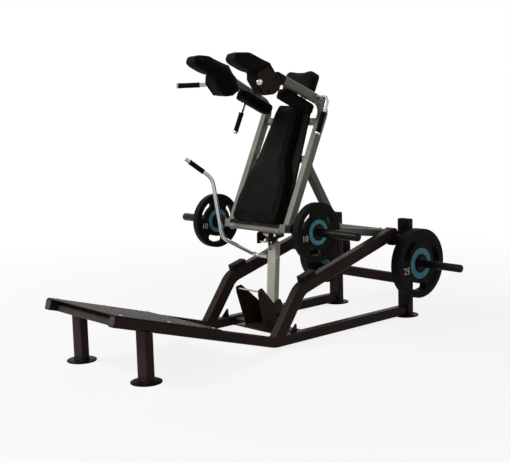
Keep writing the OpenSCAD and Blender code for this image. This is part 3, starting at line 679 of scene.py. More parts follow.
def rail_ends(size, corner, thick, bevel):
    """The same square plate on the front ends of both rails."""
    outline = rounded_outline(size, size, corner)
    return [slab(outline, thick, bevel, on_ramp(s * RAIL_X, 0, 0), X_AXIS, RAMP_UP) for s in SIDES]


upright_caps = []
covers = []
for s in SIDES:
    upright_at = np.array((s * RAIL_X, REAR_Y, UPRIGHT_TOP))
    upright_caps.append(slab(upright_cap_outline, CAP, 0.003, upright_at, X_AXIS, Y_AXIS))
    covers.append(turned(cover_profile, PIVOT + s * (RAIL_X + RAIL / 2) * X_AXIS, s * X_AXIS))
rims = rail_ends(RIM_SIZE, 0.011, CAP - 0.002, 0.002)
put_mesh("rail_rims", rims, cover_plastic, "base", ["base_end_caps"])
put_mesh("rail_caps", rail_ends(RAIL_CAP_SIZE, 0.019, CAP, 0.0025), cap_plastic, "base")
put_mesh("upright_caps", upright_caps, cover_plastic, "base")
put_mesh("pivot_covers", covers, cover_plastic, "base")

# %% Feet
FOOT_R = 0.085
FOOT_TOP = 0.012
LEG_Y = REAR_Y - 2.087
LEG_W = 0.096
LEG_D = 0.050
foot_profile = ((0, 0), (0, FOOT_R - 0.004), (0.0012, FOOT_R - 0.001), (0.004, FOOT_R),
                (0.0075, FOOT_R - 0.001), (0.0095, FOOT_R - 0.005), (0.0105, FOOT_R - 0.014),
                (0.0118, 0.060), (FOOT_TOP, 0.045), (FOOT_TOP, 0))
foot_places = [np.array((s * RAIL_X, y, 0)) for s in SIDES for y in (REAR_Y, LEG_Y)]
feet = [turned(foot_profile, at, Z_AXIS, 64) for at in foot_places]
put_mesh("floor_feet", feet, foot_rubber, "base", ["feet"])

# %% [markdown]
# ## Horns
# A horn is a round bar with a welded flange, a collar that the plate stops against and a rounded end.
# Separate cylinders could be stacked up, but one turned profile has every step of it and no hidden faces.

# %% Horns
HORN_R = 0.025
FLANGE_R = 0.037
COLLAR_R = 0.040


def horn_profile(root, stop, tip):
    """Bar radius along a horn: a flange at its root, a collar before the plate, a rounded end."""
    return ((root, 0), (root, FLANGE_R), (root + 0.004, FLANGE_R), (root + 0.006, 0.034),
            (root + 0.007, HORN_R), (stop - 0.012, HORN_R), (stop - 0.011, 0.038), (stop - 0.009, COLLAR_R),
            (stop - 0.002, COLLAR_R), (stop, 0.038), (stop + 0.0005, HORN_R), (tip - 0.006, HORN_R),
            (tip - 0.003, HORN_R - 0.001), (tip - 0.001, HORN_R - 0.003), (tip, HORN_R - 0.006),
            (tip, 0.012), (tip - 0.002, 0.011), (tip - 0.002, 0))


HORNS = (
    ("load_horn_", "loading_horn_", "carriage", HORN, FRAME_X + TUBE / 2, 0.4355, 0.787),
    ("store_horn_", "storage_horn_", "base", STORE_HORN, RAIL_X + UPRIGHT_W / 2, 0.3855, 0.767),
)
for s in SIDES:
    for name, node, body, at, *lengths in HORNS:
        shape = turned(horn_profile(*lengths), at, s * X_AXIS, 64)
        put_mesh(name + WORD[s], [shape], horn_paint, body, [node + WORD[s]])


# %% [markdown]
# ## Weight plates
# Rubber plates with three grip slots. They could be drawn again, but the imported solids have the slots
# already, so a merged copy of each takes rounded edges from a bevel. A painted ring and the weight in
# figures lie on both faces.

# %% Softened copies
BEVEL_ANGLE = math.radians(40)


def softened(name, node, width, finish, body, segments=3):
    """Copy of a CAD node with its flat triangles joined. Its sharp edges are rounded to a width, or weighted
    normals keep its flats flat where the width is 0."""
    mesh = nodes[node].data.copy()
    mesh.name = name
    merge(mesh, COPY_MERGE, outwards=False)
    piece = add_piece(name, mesh, finish, body, [node])
    if width:
        modify(piece, "edges", "BEVEL", width=width, segments=segments, limit_method="ANGLE",
               angle_limit=BEVEL_ANGLE, use_clamp_overlap=True, harden_normals=False)
    else:
        modify(piece, "flats", "WEIGHTED_NORMAL", keep_sharp=True)


# %% Rings and figures
def points_of(mesh):
    """Points of a mesh as one array."""
    points = np.empty(len(mesh.vertices) * 3)
    mesh.vertices.foreach_get("co", points)
    return points.reshape(-1, 3)


def ring_shape(inner, outer, lift, at, axis):
    """Thin flat ring with a rounded face."""
    profile = ((-0.001, inner), (lift * 0.7, inner), (lift, inner + 0.001), (lift, outer - 0.001),
               (lift * 0.7, outer), (-0.001, outer))
    return turned(profile + profile[:1], at, axis, 96)


def figures(text, size, thick, origin, across, up):
    """Figures as a mesh: a text curve made solid and laid in the plane of across and up."""
    curve = bpy.data.curves.new("figures", "FONT")
    set_all(curve, body=text, size=size, extrude=thick / 2, align_x="CENTER", align_y="CENTER")
    holder = add_object("figures", curve)
    flat = bpy.data.meshes.new_from_object(holder)
    bpy.data.objects.remove(holder)
    faces = [list(p.vertices) for p in flat.polygons]
    return origin + points_of(flat) @ np.stack([across, up, np.cross(across, up)]), faces


# %% Plates
WEB_SHARE = 0.80
RING_LIFT = 0.0012
HUB_LIFT = 0.0004
FIGURE_SIZE = 0.28
FIGURE_AHEAD = 0.62
FIGURE_DOWN = 0.16
FIGURE_T = 0.002
PLATES = (
    ("small", "10", HORN, 0.1725, 0.436, 0.042, 0.074, 0.047, 0.0035),
    ("big", "25", STORE_HORN, 0.225, 0.386, 0.066, 0.100, 0.062, 0.0045),
)
for kind, weight, at, radius, inner_x, thick, ring_out, ring_in, edge in PLATES:
    for s in SIDES:
        name = kind + "_plate_" + WORD[s]
        softened("rubber_" + name, name, edge, plate_rubber, name)
        middle = at + s * (inner_x + thick / 2) * X_AXIS
        size = FIGURE_SIZE * radius
        down = radius * (FIGURE_AHEAD * Y_AXIS + FIGURE_DOWN * Z_AXIS)
        rings = []
        hubs = []
        words = []
        for face in SIDES:
            out = face * X_AXIS
            on_web = middle + WEB_SHARE * thick / 2 * out
            rings.append(ring_shape(ring_in, ring_out, RING_LIFT, on_web, out))
            hubs.append(ring_shape(HORN_R + 0.0006, HORN_R + 0.012, HUB_LIFT, middle + thick / 2 * out, out))
            words.append(figures(weight, size, FIGURE_T, on_web - down, face * Y_AXIS, Z_AXIS))
        put_mesh("ring_" + name, rings, teal_paint, name)
        put_mesh("hub_" + name, hubs, horn_paint, name)
        put_mesh("weight_" + name, words, cream_paint, name, smooth=False)

# %% [markdown]
# ## Handles
# Chrome bars bend out of the shoulder arms, each from a small welded collar. The grips are ribbed rubber
# sleeves with a flared lip at each end, and a chrome cap closes the bar. A curve with a bevel could make the
# bars, but the grips and caps have to line up with their tips, so all three are worked out from one path.

# %% Bars, grips and caps
BAR_R = 0.0125
GRIP_R = 0.0160
GRIP_LEN = 0.130
RIB_PITCH = 0.0065
RIB_HIGH = 0.0005
LIP_HIGH = 0.0016
LIP_WIDE = 0.003
LIP_IN = 0.004
cap_profile = ((0, GRIP_R), (0.006, GRIP_R), (0.009, GRIP_R - 0.001), (0.011, GRIP_R - 0.004),
               (0.012, GRIP_R - 0.009), (0.012, 0))
collar_profile = ((0, 0.0185), (0.002, 0.0172), (0.005, 0.0148), (0.010, 0.0127))


def grip_profile(length):
    """Sleeve radius along a grip: lips at both ends and shallow ribs between them."""
    along = np.linspace(0, length, 90)
    ribs = RIB_HIGH * np.cos(along / RIB_PITCH * 2 * math.pi)
    lips = np.exp(-((along - LIP_IN) / LIP_WIDE) ** 2) + np.exp(-((along - length + LIP_IN) / LIP_WIDE) ** 2)
    radius = GRIP_R - 0.0006 + ribs + LIP_HIGH * lips
    radius[[0, -1]] = BAR_R
    return np.stack([along, radius], 1)


def dress_handle(corners, reach, side, grip_length=GRIP_LEN, cap_gap=0.0):
    """Bar along a bent path, its grip near the tip and the cap past it."""
    corners = np.asarray(corners, float)
    tip = corners[-1]
    back = unit(corners[-2] - tip)
    bar = tube(bent_path(corners, reach), BAR_R, side)
    grip = turned(grip_profile(grip_length), tip + cap_gap * back, back, 32)
    cap = turned(cap_profile, tip, -back, 32)
    return bar, grip, cap


def collar(at, axis):
    """Weld collar where a bar leaves an arm: a ring that flares onto the arm's face."""
    return turned(collar_profile, at, axis, 32)


# %% Shoulder handles
HANDLE_X = 0.370
PLATE_FACE = 0.2373
ARM_UP = 0.795
ARM_BEND = 0.075
ARM_TURN = math.radians(5.5)
FRONT_ROOT = (0.512, ARM_UP - 0.087)
FRONT_TIP = (0.630, ARM_UP - 0.145)
FRONT_STUB = 0.022
REAR_AHEAD = 0.104
REAR_DROP = 0.225


def arm_face(forward):
    """Side of a shoulder arm's outer face: the arm turns inwards past its bend."""
    return FRAME_X + TUBE / 2 - (forward - ARM_BEND) * math.tan(ARM_TURN)


handles = {"front": [], "rear": []}
collars = []
for s in SIDES:
    front_root = on_back(s * PLATE_FACE, *FRONT_ROOT)
    front_path = (front_root, front_root + s * FRONT_STUB * X_AXIS, on_back(s * HANDLE_X, *FRONT_TIP))
    handles["front"].append(dress_handle(front_path, 0.018, BACK_UP))
    rear_root = on_back(s * arm_face(REAR_AHEAD), REAR_AHEAD, ARM_UP)
    rear_path = (rear_root, on_back(s * HANDLE_X, REAR_AHEAD, ARM_UP),
                 on_back(s * HANDLE_X, REAR_AHEAD, ARM_UP - REAR_DROP))
    handles["rear"].append(dress_handle(rear_path, 0.040, BACK_FORWARD))
    collars += [collar(front_root, s * X_AXIS), collar(rear_root, s * X_AXIS)]
all_caps = []
for place, pair in handles.items():
    bars, grips, caps = zip(*pair)
    put_mesh(place + "_bars", bars, chrome, "carriage", [place + "_handles"])
    put_mesh(place + "_sleeves", grips, grip_rubber, "carriage", [place + "_grips"])
    all_caps += caps
put_mesh("bar_caps", all_caps, chrome, "carriage", ["handle_caps"])
put_mesh("bar_collars", collars, frame_paint, "carriage")

# %% Release handle
RELEASE = ((-0.040, -0.885, 0.472), (-0.170, -0.885, 0.472), (-0.200, -1.122, 0.602),
           (-0.233, -1.160, 0.972), (-0.302, -1.307, 1.097))
RELEASE_GRIP = 0.1066
RELEASE_BARE = 0.030
release_path = np.array(RELEASE) + REAR_Y * Y_AXIS
bar, grip, _ = dress_handle(release_path, 0.045, Y_AXIS, RELEASE_GRIP, RELEASE_BARE)
put_mesh("release_bar", [bar], chrome, "prop", ["release_handle"])
put_mesh("release_sleeve", [grip], grip_rubber, "prop", ["release_grip"])
put_mesh("release_collar", [collar(release_path[0], -X_AXIS)], frame_paint, "prop")


# %% [markdown]
# ## Cushions
# Each cushion is foam under vinyl, sewn along its edges. It starts as a crowned closed form: an outline
# swept from one face to the other, shrinking to the middle of both. Subdivision alone would leave it stiff,
# so a voxel remesh evens it out, and a cloth simulation with a little pressure swells it against its seams,
# held flat where it rests on its board. How far a point may move is capped.

# %% Cushion forms
PAD_INSET = 0.003


def star_radius(outline, centre, count=240, smooth=5):
    """Distance from the centre to the outline in each direction, evened out at the corners."""
    a = np.asarray(outline, float) - centre
    turn = full_turn(count)
    ray = np.stack([np.cos(turn), np.sin(turn)], 1)
    edge = np.roll(a, -1, 0) - a
    cross_edge = ray[:, None, 0] * edge[None, :, 1] - ray[:, None, 1] * edge[None, :, 0]
    cross_a = a[None, :, 0] * edge[None, :, 1] - a[None, :, 1] * edge[None, :, 0]
    cross_ray = a[None, :, 0] * ray[:, None, 1] - a[None, :, 1] * ray[:, None, 0]
    with np.errstate(divide="ignore", invalid="ignore"):
        distance = cross_a / cross_edge
        place = cross_ray / cross_edge
    hit = (distance > 0) & (place >= -1e-9) & (place <= 1 + 1e-9)
    radius = np.where(hit, distance, 1e9).min(1)
    wide = np.ones(2 * smooth + 1) / (2 * smooth + 1)
    radius = np.convolve(np.concatenate([radius[-smooth:], radius, radius[:smooth]]), wide, "valid")
    return turn, radius


def pillow(outline, centre, place, depth, edge, crown, smooth):
    """Upholstered block: a flat back, walls along the outline, edges rounded by a quarter circle, and a
    front that rises to its middle by crown times one minus the square of the way out. place turns
    (a, b, depth) into a point on the machine."""
    turn, radius = star_radius(outline, np.asarray(centre, float), smooth=smooth)
    radius = radius - PAD_INSET
    out = np.linspace(0, 1, 16)[:, None]
    bend = np.linspace(0, math.pi / 2, 8)[:, None]
    inner = out * (radius - edge)
    round_off = radius - edge + edge * np.sin(bend)
    low_face = np.repeat(np.full(16, PAD_INSET)[:, None], len(turn), 1)
    low_edge = np.repeat(PAD_INSET + edge * (1 - np.cos(bend)), len(turn), 1)
    high_edge = np.repeat(depth - PAD_INSET - crown - edge * (1 - np.cos(bend)), len(turn), 1)
    high_face = np.repeat(depth - PAD_INSET - crown * out**2, len(turn), 1)
    reach = np.concatenate([inner, round_off[1:], round_off[::-1], inner[::-1][1:]])
    level = np.concatenate([low_face, low_edge[1:], high_edge[::-1], high_face[::-1][1:]])
    a = centre[0] + reach * np.cos(turn)
    b = centre[1] + reach * np.sin(turn)
    return place(a.ravel(), b.ravel(), level.ravel()), grid_faces(len(reach), len(turn))


# %% Cloth
PRESSURE = 4.0
SWELL_CAP = 0.008
LAST_FRAME = 20


def swollen(points, faces, voxel, held):
    """Evens the form out, swells it as cloth with some points held, and returns its new points and faces."""
    mesh = bpy.data.meshes.new("form")
    mesh.from_pydata(points.tolist(), [], faces)
    merge(mesh, COPY_MERGE)
    form = add_object("form", mesh)
    modify(form, "even", "REMESH", mode="VOXEL", voxel_size=voxel)
    modify(form, "calm", "SMOOTH", factor=0.5, iterations=3)
    graph = bpy.context.evaluated_depsgraph_get()
    smooth_mesh = bpy.data.meshes.new_from_object(form.evaluated_get(graph))
    bpy.data.objects.remove(form)
    rest = points_of(smooth_mesh)
    new_faces = [list(p.vertices) for p in smooth_mesh.polygons]
    form = add_object("form", smooth_mesh)
    pins = form.vertex_groups.new(name="held")
    pins.add(np.flatnonzero(held(rest)).tolist(), 1.0, "REPLACE")
    cloth = modify(form, "cloth", "CLOTH")
    set_all(cloth.settings, use_pressure=True, uniform_pressure_force=PRESSURE, vertex_group_mass="held")
    cloth.settings.effector_weights.gravity = 0
    cloth.settings.quality = 5
    set_all(cloth.point_cache, frame_start=1, frame_end=LAST_FRAME)
    for step in range(1, LAST_FRAME + 1):
        bpy.context.scene.frame_set(step)
    graph = bpy.context.evaluated_depsgraph_get()
    move = points_of(form.evaluated_get(graph).to_mesh()) - rest
    far = np.linalg.norm(move, axis=1, keepdims=True)
    bpy.data.objects.remove(form)
    bpy.context.scene.frame_set(1)
    return rest + move * np.minimum(1, SWELL_CAP / np.maximum(far, 1e-9)), new_faces


def stuffed(outline, centre, place, depth, edge, crown, smooth, voxel, held):
    """Shape of a finished cushion: its form, swollen."""
    return swollen(*pillow(outline, centre, place, depth, edge, crown, smooth), voxel, held)


# %% Vinyl and piping
PIPING_R = 0.0024
THIN_PIPING_R = 0.002
PIPING_LIFT = 0.0002


def upholster(name, shape, node):
    """Padded piece of vinyl that stands for a CAD cushion."""
    piece = put_mesh(name, [shape], vinyl, "carriage", [node], crease=SOFT_CREASE)
    modify(piece, "fine", "SUBSURF", levels=1, render_levels=1)
    return piece


def around(outline, centre, place, depth, inset, count, smooth):
    """Loop of points on a cushion at one depth, a distance in from its outline."""
    turn, radius = star_radius(outline, np.array(centre), count, smooth)
    radius = radius - inset
    return place(centre[0] + radius * np.cos(turn), centre[1] + radius * np.sin(turn), np.full(count, depth))


def snapped(path, piece):
    """Path moved onto the nearest points of a piece's surface, with the surface's normals."""
    spots = [v.co for v in piece.data.vertices]
    tree = BVHTree.FromPolygons(spots, [p.vertices for p in piece.data.polygons])
    hits = [tree.find_nearest(Vector(p)) for p in path]
    at = np.array([h[0] for h in hits])
    out = np.array([h[1] for h in hits])
    kernel = np.array((1, 4, 6, 4, 1)) / 16
    wrapped = np.concatenate([at[-2:], at, at[:2]])
    at = np.stack([np.convolve(wrapped[:, i], kernel, "valid") for i in range(3)], 1)
    return at, out


def seam(name, piece, path, side, radius):
    """Piping cord around an edge: a loop of tube half sunk in the cushion."""
    at, out = snapped(path, piece)
    cord = tube(at + PIPING_LIFT * out, radius, side, 10, loop=True)
    put_mesh(name, [cord], vinyl_piping, "carriage", crease=SOFT_CREASE)


# %% Back cushion
BACK_LEN = 0.768
BACK_T = 0.065
BACK_FACE = 0.0153
BACK_FOOT = 0.008
HALF_W = np.array(((0.203, 0), (0.203, 0.138), (0.175, 0.3226), (0.1235, 0.3994), (0.096, BACK_LEN)))


def back_place(a, b, d):
    """Outline across and up the back, depth forward from the board."""
    return on_back(a, d + BACK_FACE, b + BACK_FOOT)


def behind(distance):
    """Test for points within a distance of the back board."""
    def test(points):
        return (points - BEAM_FOOT) @ BACK_FORWARD < distance
    return test


BACK = (np.concatenate([HALF_W, HALF_W[::-1] * (-1, 1)]), (0, 0.32), back_place)
shape = stuffed(*BACK, BACK_T, 0.014, 0.006, 2, 0.0075, behind(BACK_FACE + 0.010))
back_cushion = upholster("back_cushion", shape, "back_pad")
for name, depth in (("front", BACK_T - 0.008), ("rear", 0.010)):
    seam("back_seam_" + name, back_cushion, around(*BACK, depth, 0.006, 420, 3), BACK_FORWARD, PIPING_R)

# %% Head cushion
HEAD_FOOT = 0.865
HEAD_LEN = 0.138
HEAD_W = 0.252
HEAD_T = 0.078
HEAD_BACK = -0.0167


def head_place(a, b, d):
    """Outline across and up, depth forward from the head bracket."""
    return on_back(a, d + HEAD_BACK, b + HEAD_FOOT + HEAD_LEN / 2)


HEAD = (rounded_outline(HEAD_W, HEAD_LEN, 0.026), (0, 0), head_place)
shape = stuffed(*HEAD, HEAD_T, 0.013, 0.006, 3, 0.005, behind(HEAD_BACK + 0.008))
head_cushion = upholster("head_cushion", shape, "head_pad")
seam("head_seam", head_cushion, around(*HEAD, HEAD_T - 0.010, 0.005, 240, 4), BACK_FORWARD, PIPING_R)

# %% Shoulder cushions
SHOULDER_X = 0.183
SHOULDER_W = 0.096
HOOK_OUTLINE = ((0.735, -0.060), (0.738, -0.010), (0.650, 0.037), (0.480, 0.053), (0.395, 0.005),
                (0.345, -0.053), (0.380, -0.107), (0.455, -0.139), (0.545, -0.089), (0.562, -0.049),
                (0.620, -0.060))
REAR_LEN = 0.262
REAR_T = 0.068
REAR_START = 0.046
REAR_TOP = ARM_UP - TUBE / 2 - 0.0003
HELD_DEPTH = 0.008
SEAM_IN = 0.010


def hook_place(a, b, d):
    """Outline forward and up along the arm's height, depth from the inner side to the outer."""
    return on_back(SHOULDER_X - SHOULDER_W / 2 + d, a, b + ARM_UP)


def rear_place(a, b, d):
    """Outline across and forward, depth down from the shoulder arm."""
    return on_back(a + SHOULDER_X, b + REAR_START + REAR_LEN / 2, REAR_TOP - d)


def outer_side(points):
    """Points against the side plate."""
    return points[:, 0] > SHOULDER_X + SHOULDER_W / 2 - HELD_DEPTH


def top_side(points):
    """Points against the shoulder arm."""
    return (points - BEAM_FOOT) @ BACK_UP > REAR_TOP - HELD_DEPTH


HOOK = (np.array(HOOK_OUTLINE), (0.520, -0.020), hook_place)
REAR = (rounded_outline(SHOULDER_W, REAR_LEN, 0.024), (0, 0), rear_place)
hook_points, hook_faces = stuffed(*HOOK, SHOULDER_W, 0.012, 0.003, 2, 0.005, outer_side)
rear_points, rear_faces = stuffed(*REAR, REAR_T, 0.012, 0.005, 3, 0.005, top_side)
shoulder_cushions = []
for s in SIDES:
    mirror = np.array((s, 1, 1))
    hook = upholster("front_cushion_" + WORD[s], (hook_points * mirror, hook_faces), "front_pad_" + WORD[s])
    for name, depth in (("inner", SEAM_IN), ("outer", SHOULDER_W - SEAM_IN)):
        path = around(*HOOK, depth, 0.005, 300, 3) * mirror
        seam("front_seam_%s_%s" % (name, WORD[s]), hook, path, X_AXIS, THIN_PIPING_R)
    rear = upholster("rear_cushion_" + WORD[s], (rear_points * mirror, rear_faces), "rear_pad_" + WORD[s])
    path = around(*REAR, REAR_T - SEAM_IN, 0.005, 240, 4) * mirror
    seam("rear_seam_" + WORD[s], rear, path, BACK_UP, THIN_PIPING_R)
    shoulder_cushions.append((s, mirror, hook, rear))

# %% [markdown]
# ## Stitches
# A top-stitch runs inside the edge of each cushion's face. A dashed texture could draw it, but every stitch
# here is a short bead of thread laid on the vinyl, so it follows the swell that the simulation gave and
# catches light.

# %% Stitch rows
STITCH = 0.0055
STITCH_GAP = 0.0035
THREAD_R = 0.0007
BEAD_PLACES = np.array((0.0, 0.15, 0.5, 0.85, 1.0))
BEAD_WIDTHS = np.array((0.25, 0.9, 1.0, 0.9, 0.25))
BEAD_SIDES = 6


def walked(loop):
    """Distance walked around a closed loop at each of its points, and back at the first."""
    ring = np.concatenate([loop, loop[:1]])
    return np.concatenate([[0], np.cumsum(np.linalg.norm(np.diff(ring, axis=0), axis=1))])


def along_loop(loop, reach, places):
    """Points of a closed loop after some distances walked along it."""
    ring = np.concatenate([loop, loop[:1]])
    return np.stack([np.interp(places, reach, column) for column in ring.T], -1)


def stitch_row(name, piece, path):
    """Row of stitches: beads of six sides, each laid along the path between two of its places."""
    at, out = snapped(path, piece)
    reach = walked(at)
    starts = np.arange(0, reach[-1] - STITCH, STITCH + STITCH_GAP)
    places = starts[:, None] + STITCH * BEAD_PLACES
    middle = along_loop(at, reach, places)
    normal = unit(along_loop(out, reach, places))
    across = np.cross(unit(middle[:, -1:] - middle[:, :1]), normal)
    size = THREAD_R * BEAD_WIDTHS[None, :, None, None]
    turn = full_turn(BEAD_SIDES)[None, None, :, None]
    circle = np.cos(turn) * across[:, :, None] + np.sin(turn) * normal[:, :, None]
    beads = middle[:, :, None] + size * circle
    one = grid_faces(len(BEAD_PLACES), BEAD_SIDES, capped=True)
    faces = repeated(one, len(BEAD_PLACES) * BEAD_SIDES, len(starts))
    put_mesh(name, [(beads, faces)], thread, "carriage", crease=SOFT_CREASE)


stitch_row("back_stitches", back_cushion, around(*BACK, BACK_T, 0.024, 600, 9))
stitch_row("head_stitches", head_cushion, around(*HEAD, HEAD_T, 0.018, 300, 6))
for s, mirror, hook, rear in shoulder_cushions:
    stitch_row("front_stitches_" + WORD[s], hook, around(*HOOK, 0.0, 0.014, 400, 5) * mirror)
    stitch_row("rear_stitches_" + WORD[s], rear, around(*REAR, REAR_T, 0.016, 300, 6) * mirror)

# %% [markdown]
# ## Tubes
# The tubes' corners are round, and a line of light runs along each one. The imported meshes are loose
# triangles that shade flat, so merged copies are made, where the round shades smoothly and weighted normals
# keep the flats flat.

# %% Smooth tubes
TUBES = (
    ("base", base_paint, ("rail_left", "rail_right", "upright_left", "upright_right", "stay_left",
                          "stay_right", "leg_left", "leg_right", "rear_crossmember", "floor_crossmember")),
    ("carriage", frame_paint, ("back_beam_left", "back_beam_right", "back_crossbars")),
    # lever arms, struts and lever crossbar take the darker silver copy, which is painted shade
    ("carriage", lever_painted_shade, ("lever_arm_left", "lever_arm_right", "strut_left", "strut_right",
                               "lever_crossbar")),
    # the prop post takes the lighter silver copy, which is painted light
    ("prop", post_painted_light, ("prop_post",)),
)
for body, finish, names in TUBES:
    for name in names:
        softened("tube_" + name, name, 0, finish, body)

# %% [markdown]
# ## Brackets and rubber stops
# Cut plates and moulded blocks have no perfectly sharp edges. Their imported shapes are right, so they aren't
# drawn again: each is copied and only its edges are rounded, which gives it a thin line of light.

# %% Softened brackets
softened("pad_side_plates", "pad_brackets", 0.0014, base_paint, "carriage")
softened("head_mount", "head_bracket", 0.0012, frame_paint, "carriage")
softened("catch_plates", "catch_bracket", 0.0012, base_paint, "carriage")
softened("yoke_plates", "prop_yoke", 0.0012, base_paint, "base")
softened("rest_head", "prop_head", 0.0020, frame_paint, "prop")
softened("rubber_stops", "bumpers", 0.0060, foot_rubber, "base", 4)
softened("pad_board", "back_board", 0.0025, board_plastic, "carriage")

# %% [markdown]
# ## Welds
# A welded frame shows a bead along every joint. A bevel could hint at it, but a real bead is a thin rope of
# weld metal laid around the joint's outline, and its radius ripples once per puddle, as when a welder moves
# on in small steps. So it is a tube whose radius follows a cosine.

# %% Weld beads
PUDDLE = 0.0052
RIPPLE = 0.14
BEAD_R = 0.0034
THIN_BEAD_R = 0.003
BEND_START = 1.1615
BEND_R = 0.170


def weld(outline, origin, across, up, bead=BEAD_R, rise=None):
    """Bead around a closed outline: a circle of rippling radius carried along it at even steps. rise
    lifts it where what it lies on curves away."""
    reach = walked(outline)
    count = int(reach[-1] / (PUDDLE / 4))
    places = np.linspace(0, reach[-1], count, endpoint=False)
    flat = along_loop(outline, reach, places)
    ripple = bead * (1 + RIPPLE * np.cos(2 * math.pi * places / PUDDLE))
    path = origin + flat[:, :1] * across + flat[:, 1:] * up
    if rise is not None:
        path[:, 2] += rise(path)
    return tube(path, ripple, np.cross(across, up), 8, loop=True)


def over_rail_bend(path):
    """Height of the rail's top over its flat part: a shallow parabola past the start of the bend."""
    past = np.maximum(0, REAR_Y - BEND_START - path[:, 1])
    return past**2 / (2 * BEND_R)


def meet(start, direction, through, normal):
    """Where a line crosses a plane."""
    return start + direction * np.dot(through - start, normal) / np.dot(direction, normal)


# %% Base welds
FLOOR_CROSS_Y = REAR_Y - 0.940
FLOOR_CROSS_Z = 0.037
REAR_CROSS_Z = 0.243
STAY_FOOT = np.array((0, REAR_Y - 1.152, 0.072))
STAY_CORNER = np.array((0, REAR_Y - 0.970, 0.325))
STAY_WIDE = 0.054
STAY_DEEP = 0.075
LEG_CAP_T = 0.0042
LEG_CAP_SINK = 0.004
leg_long = LEG_D / math.cos(RAMP)
stay_long = STAY_DEEP / unit(STAY_CORNER - STAY_FOOT)[2]
rear_cross_outline = rounded_outline(0.040, 0.066, 0.010)
floor_cross_outline = rounded_outline(0.080, 0.048, 0.010)
leg_outline = rounded_outline(LEG_W, LEG_D, 0.010)
leg_top_outline = rounded_outline(RAIL, leg_long, 0.008)
leg_cap_outline = rounded_outline(LEG_W - 0.001, leg_long - 0.001, 0.009)
upright_outline = rounded_outline(UPRIGHT_W, UPRIGHT_D, 0.010)
stay_outline = rounded_outline(STAY_WIDE, stay_long, 0.010)
base_welds = []
leg_caps = []
for s in SIDES:
    rail_x = s * RAIL_X
    rear_cross_at = np.array((s * (RAIL_X - UPRIGHT_W / 2), REAR_Y, REAR_CROSS_Z))
    floor_cross_at = np.array((s * (RAIL_X - RAIL / 2), FLOOR_CROSS_Y, FLOOR_CROSS_Z))
    leg_top = meet(np.array((rail_x, LEG_Y, 0)), Z_AXIS, on_ramp(0, 0, -RAIL / 2), RAMP_UP)
    base_welds += [
        weld(rear_cross_outline, rear_cross_at, Y_AXIS, Z_AXIS),
        weld(floor_cross_outline, floor_cross_at, Y_AXIS, Z_AXIS),
        weld(leg_outline, np.array((rail_x, LEG_Y, FOOT_TOP)), X_AXIS, Y_AXIS),
        weld(upright_outline, np.array((rail_x, REAR_Y, FOOT_TOP)), X_AXIS, Y_AXIS),
        weld(leg_top_outline, leg_top, X_AXIS, RAMP_BACK),
        weld(stay_outline, rail_x * X_AXIS + STAY_FOOT, X_AXIS, Y_AXIS, rise=over_rail_bend),
    ]
    cap_at = leg_top - LEG_CAP_SINK * RAMP_UP
    leg_caps.append(slab(leg_cap_outline, LEG_CAP_T, 0.0012, cap_at, X_AXIS, RAMP_BACK))
put_mesh("base_welds", base_welds, base_paint, "base", crease=SOFT_CREASE)
put_mesh("leg_caps", leg_caps, base_paint, "base")

# %% Carriage welds
CROSSBAR_UPS = (0.1008, 0.4464, 0.6912)
CROSSBAR_AHEAD = -0.020
LEVER_CROSS_AT = 0.722
STRUT_ON_LEVER = 0.425
STRUT_ON_BEAM = 0.400
SLEEVE_R = 0.028
WELD_W = 0.046
crossbar_outline = rounded_outline(0.040, 0.040, 0.008)
sleeve_outline = polygon_outline(48, SLEEVE_R)
strut_foot = PIVOT + STRUT_ON_LEVER * LEVER
strut_way = unit(BEAM_FOOT + STRUT_ON_BEAM * BACK_UP - strut_foot)
lever_top = PIVOT + TUBE / 2 * LEVER_UP
beam_back = BEAM_FOOT - TUBE / 2 * BACK_FORWARD
TUBE_JOINTS = (
    (strut_foot, strut_way, lever_top, LEVER_UP, LEVER),
    (strut_foot, strut_way, beam_back, BACK_FORWARD, BACK_UP),
    (BEAM_FOOT, BACK_UP, lever_top, LEVER_UP, LEVER),
)
carriage_welds = []
for s in SIDES:
    inner_x = s * (FRAME_X - TUBE / 2) * X_AXIS
    for start, way, face_at, face_normal, face_along in TUBE_JOINTS:
        outline = rounded_outline(WELD_W, TUBE / abs(np.dot(way, face_normal)), 0.008)
        at = meet(start, way, face_at, face_normal) + s * FRAME_X * X_AXIS
        carriage_welds.append(weld(outline, at, X_AXIS, face_along))
    for up in CROSSBAR_UPS:
        at = inner_x + on_back(0, CROSSBAR_AHEAD, up)
        carriage_welds.append(weld(crossbar_outline, at, BACK_FORWARD, BACK_UP, THIN_BEAD_R))
    at = inner_x + PIVOT + LEVER_CROSS_AT * LEVER
    carriage_welds.append(weld(crossbar_outline, at, LEVER, LEVER_UP, THIN_BEAD_R))
    carriage_welds.append(weld(sleeve_outline, inner_x + PIVOT, Y_AXIS, Z_AXIS))
put_mesh("carriage_welds", carriage_welds, frame_paint, "carriage", crease=SOFT_CREASE)

# %% [markdown]
# ## Bolts
# Button heads hold the tread plate, and hexagon heads with washers hold the cushions and their plates.
# Plain discs would read as dots, so each is a lathe shape or a bevelled hexagon, with the socket cut into
# the profile where it has one.

# %% Bolts
TREAD_BOLTS = (0.06, 0.50, 0.94)
SIDE_PLATE_BOLTS = ((0.415, -0.012), (0.440, -0.106))
BOARD_BOLTS = (0.110, 0.062, 0.062)
BOLT = 0.013
button_profile = ((0, 0.0090), (0.0012, 0.0090), (0.0034, 0.0076), (0.0047, 0.0048), (0.0050, 0.0034),
                  (0.0028, 0.0032), (0.0028, 0))
WASHER_R = 0.95 * BOLT
washer_profile = ((0, 0), (0, WASHER_R), (0.10 * BOLT, WASHER_R), (0.16 * BOLT, 0.93 * WASHER_R),
                  (0.16 * BOLT, 0))


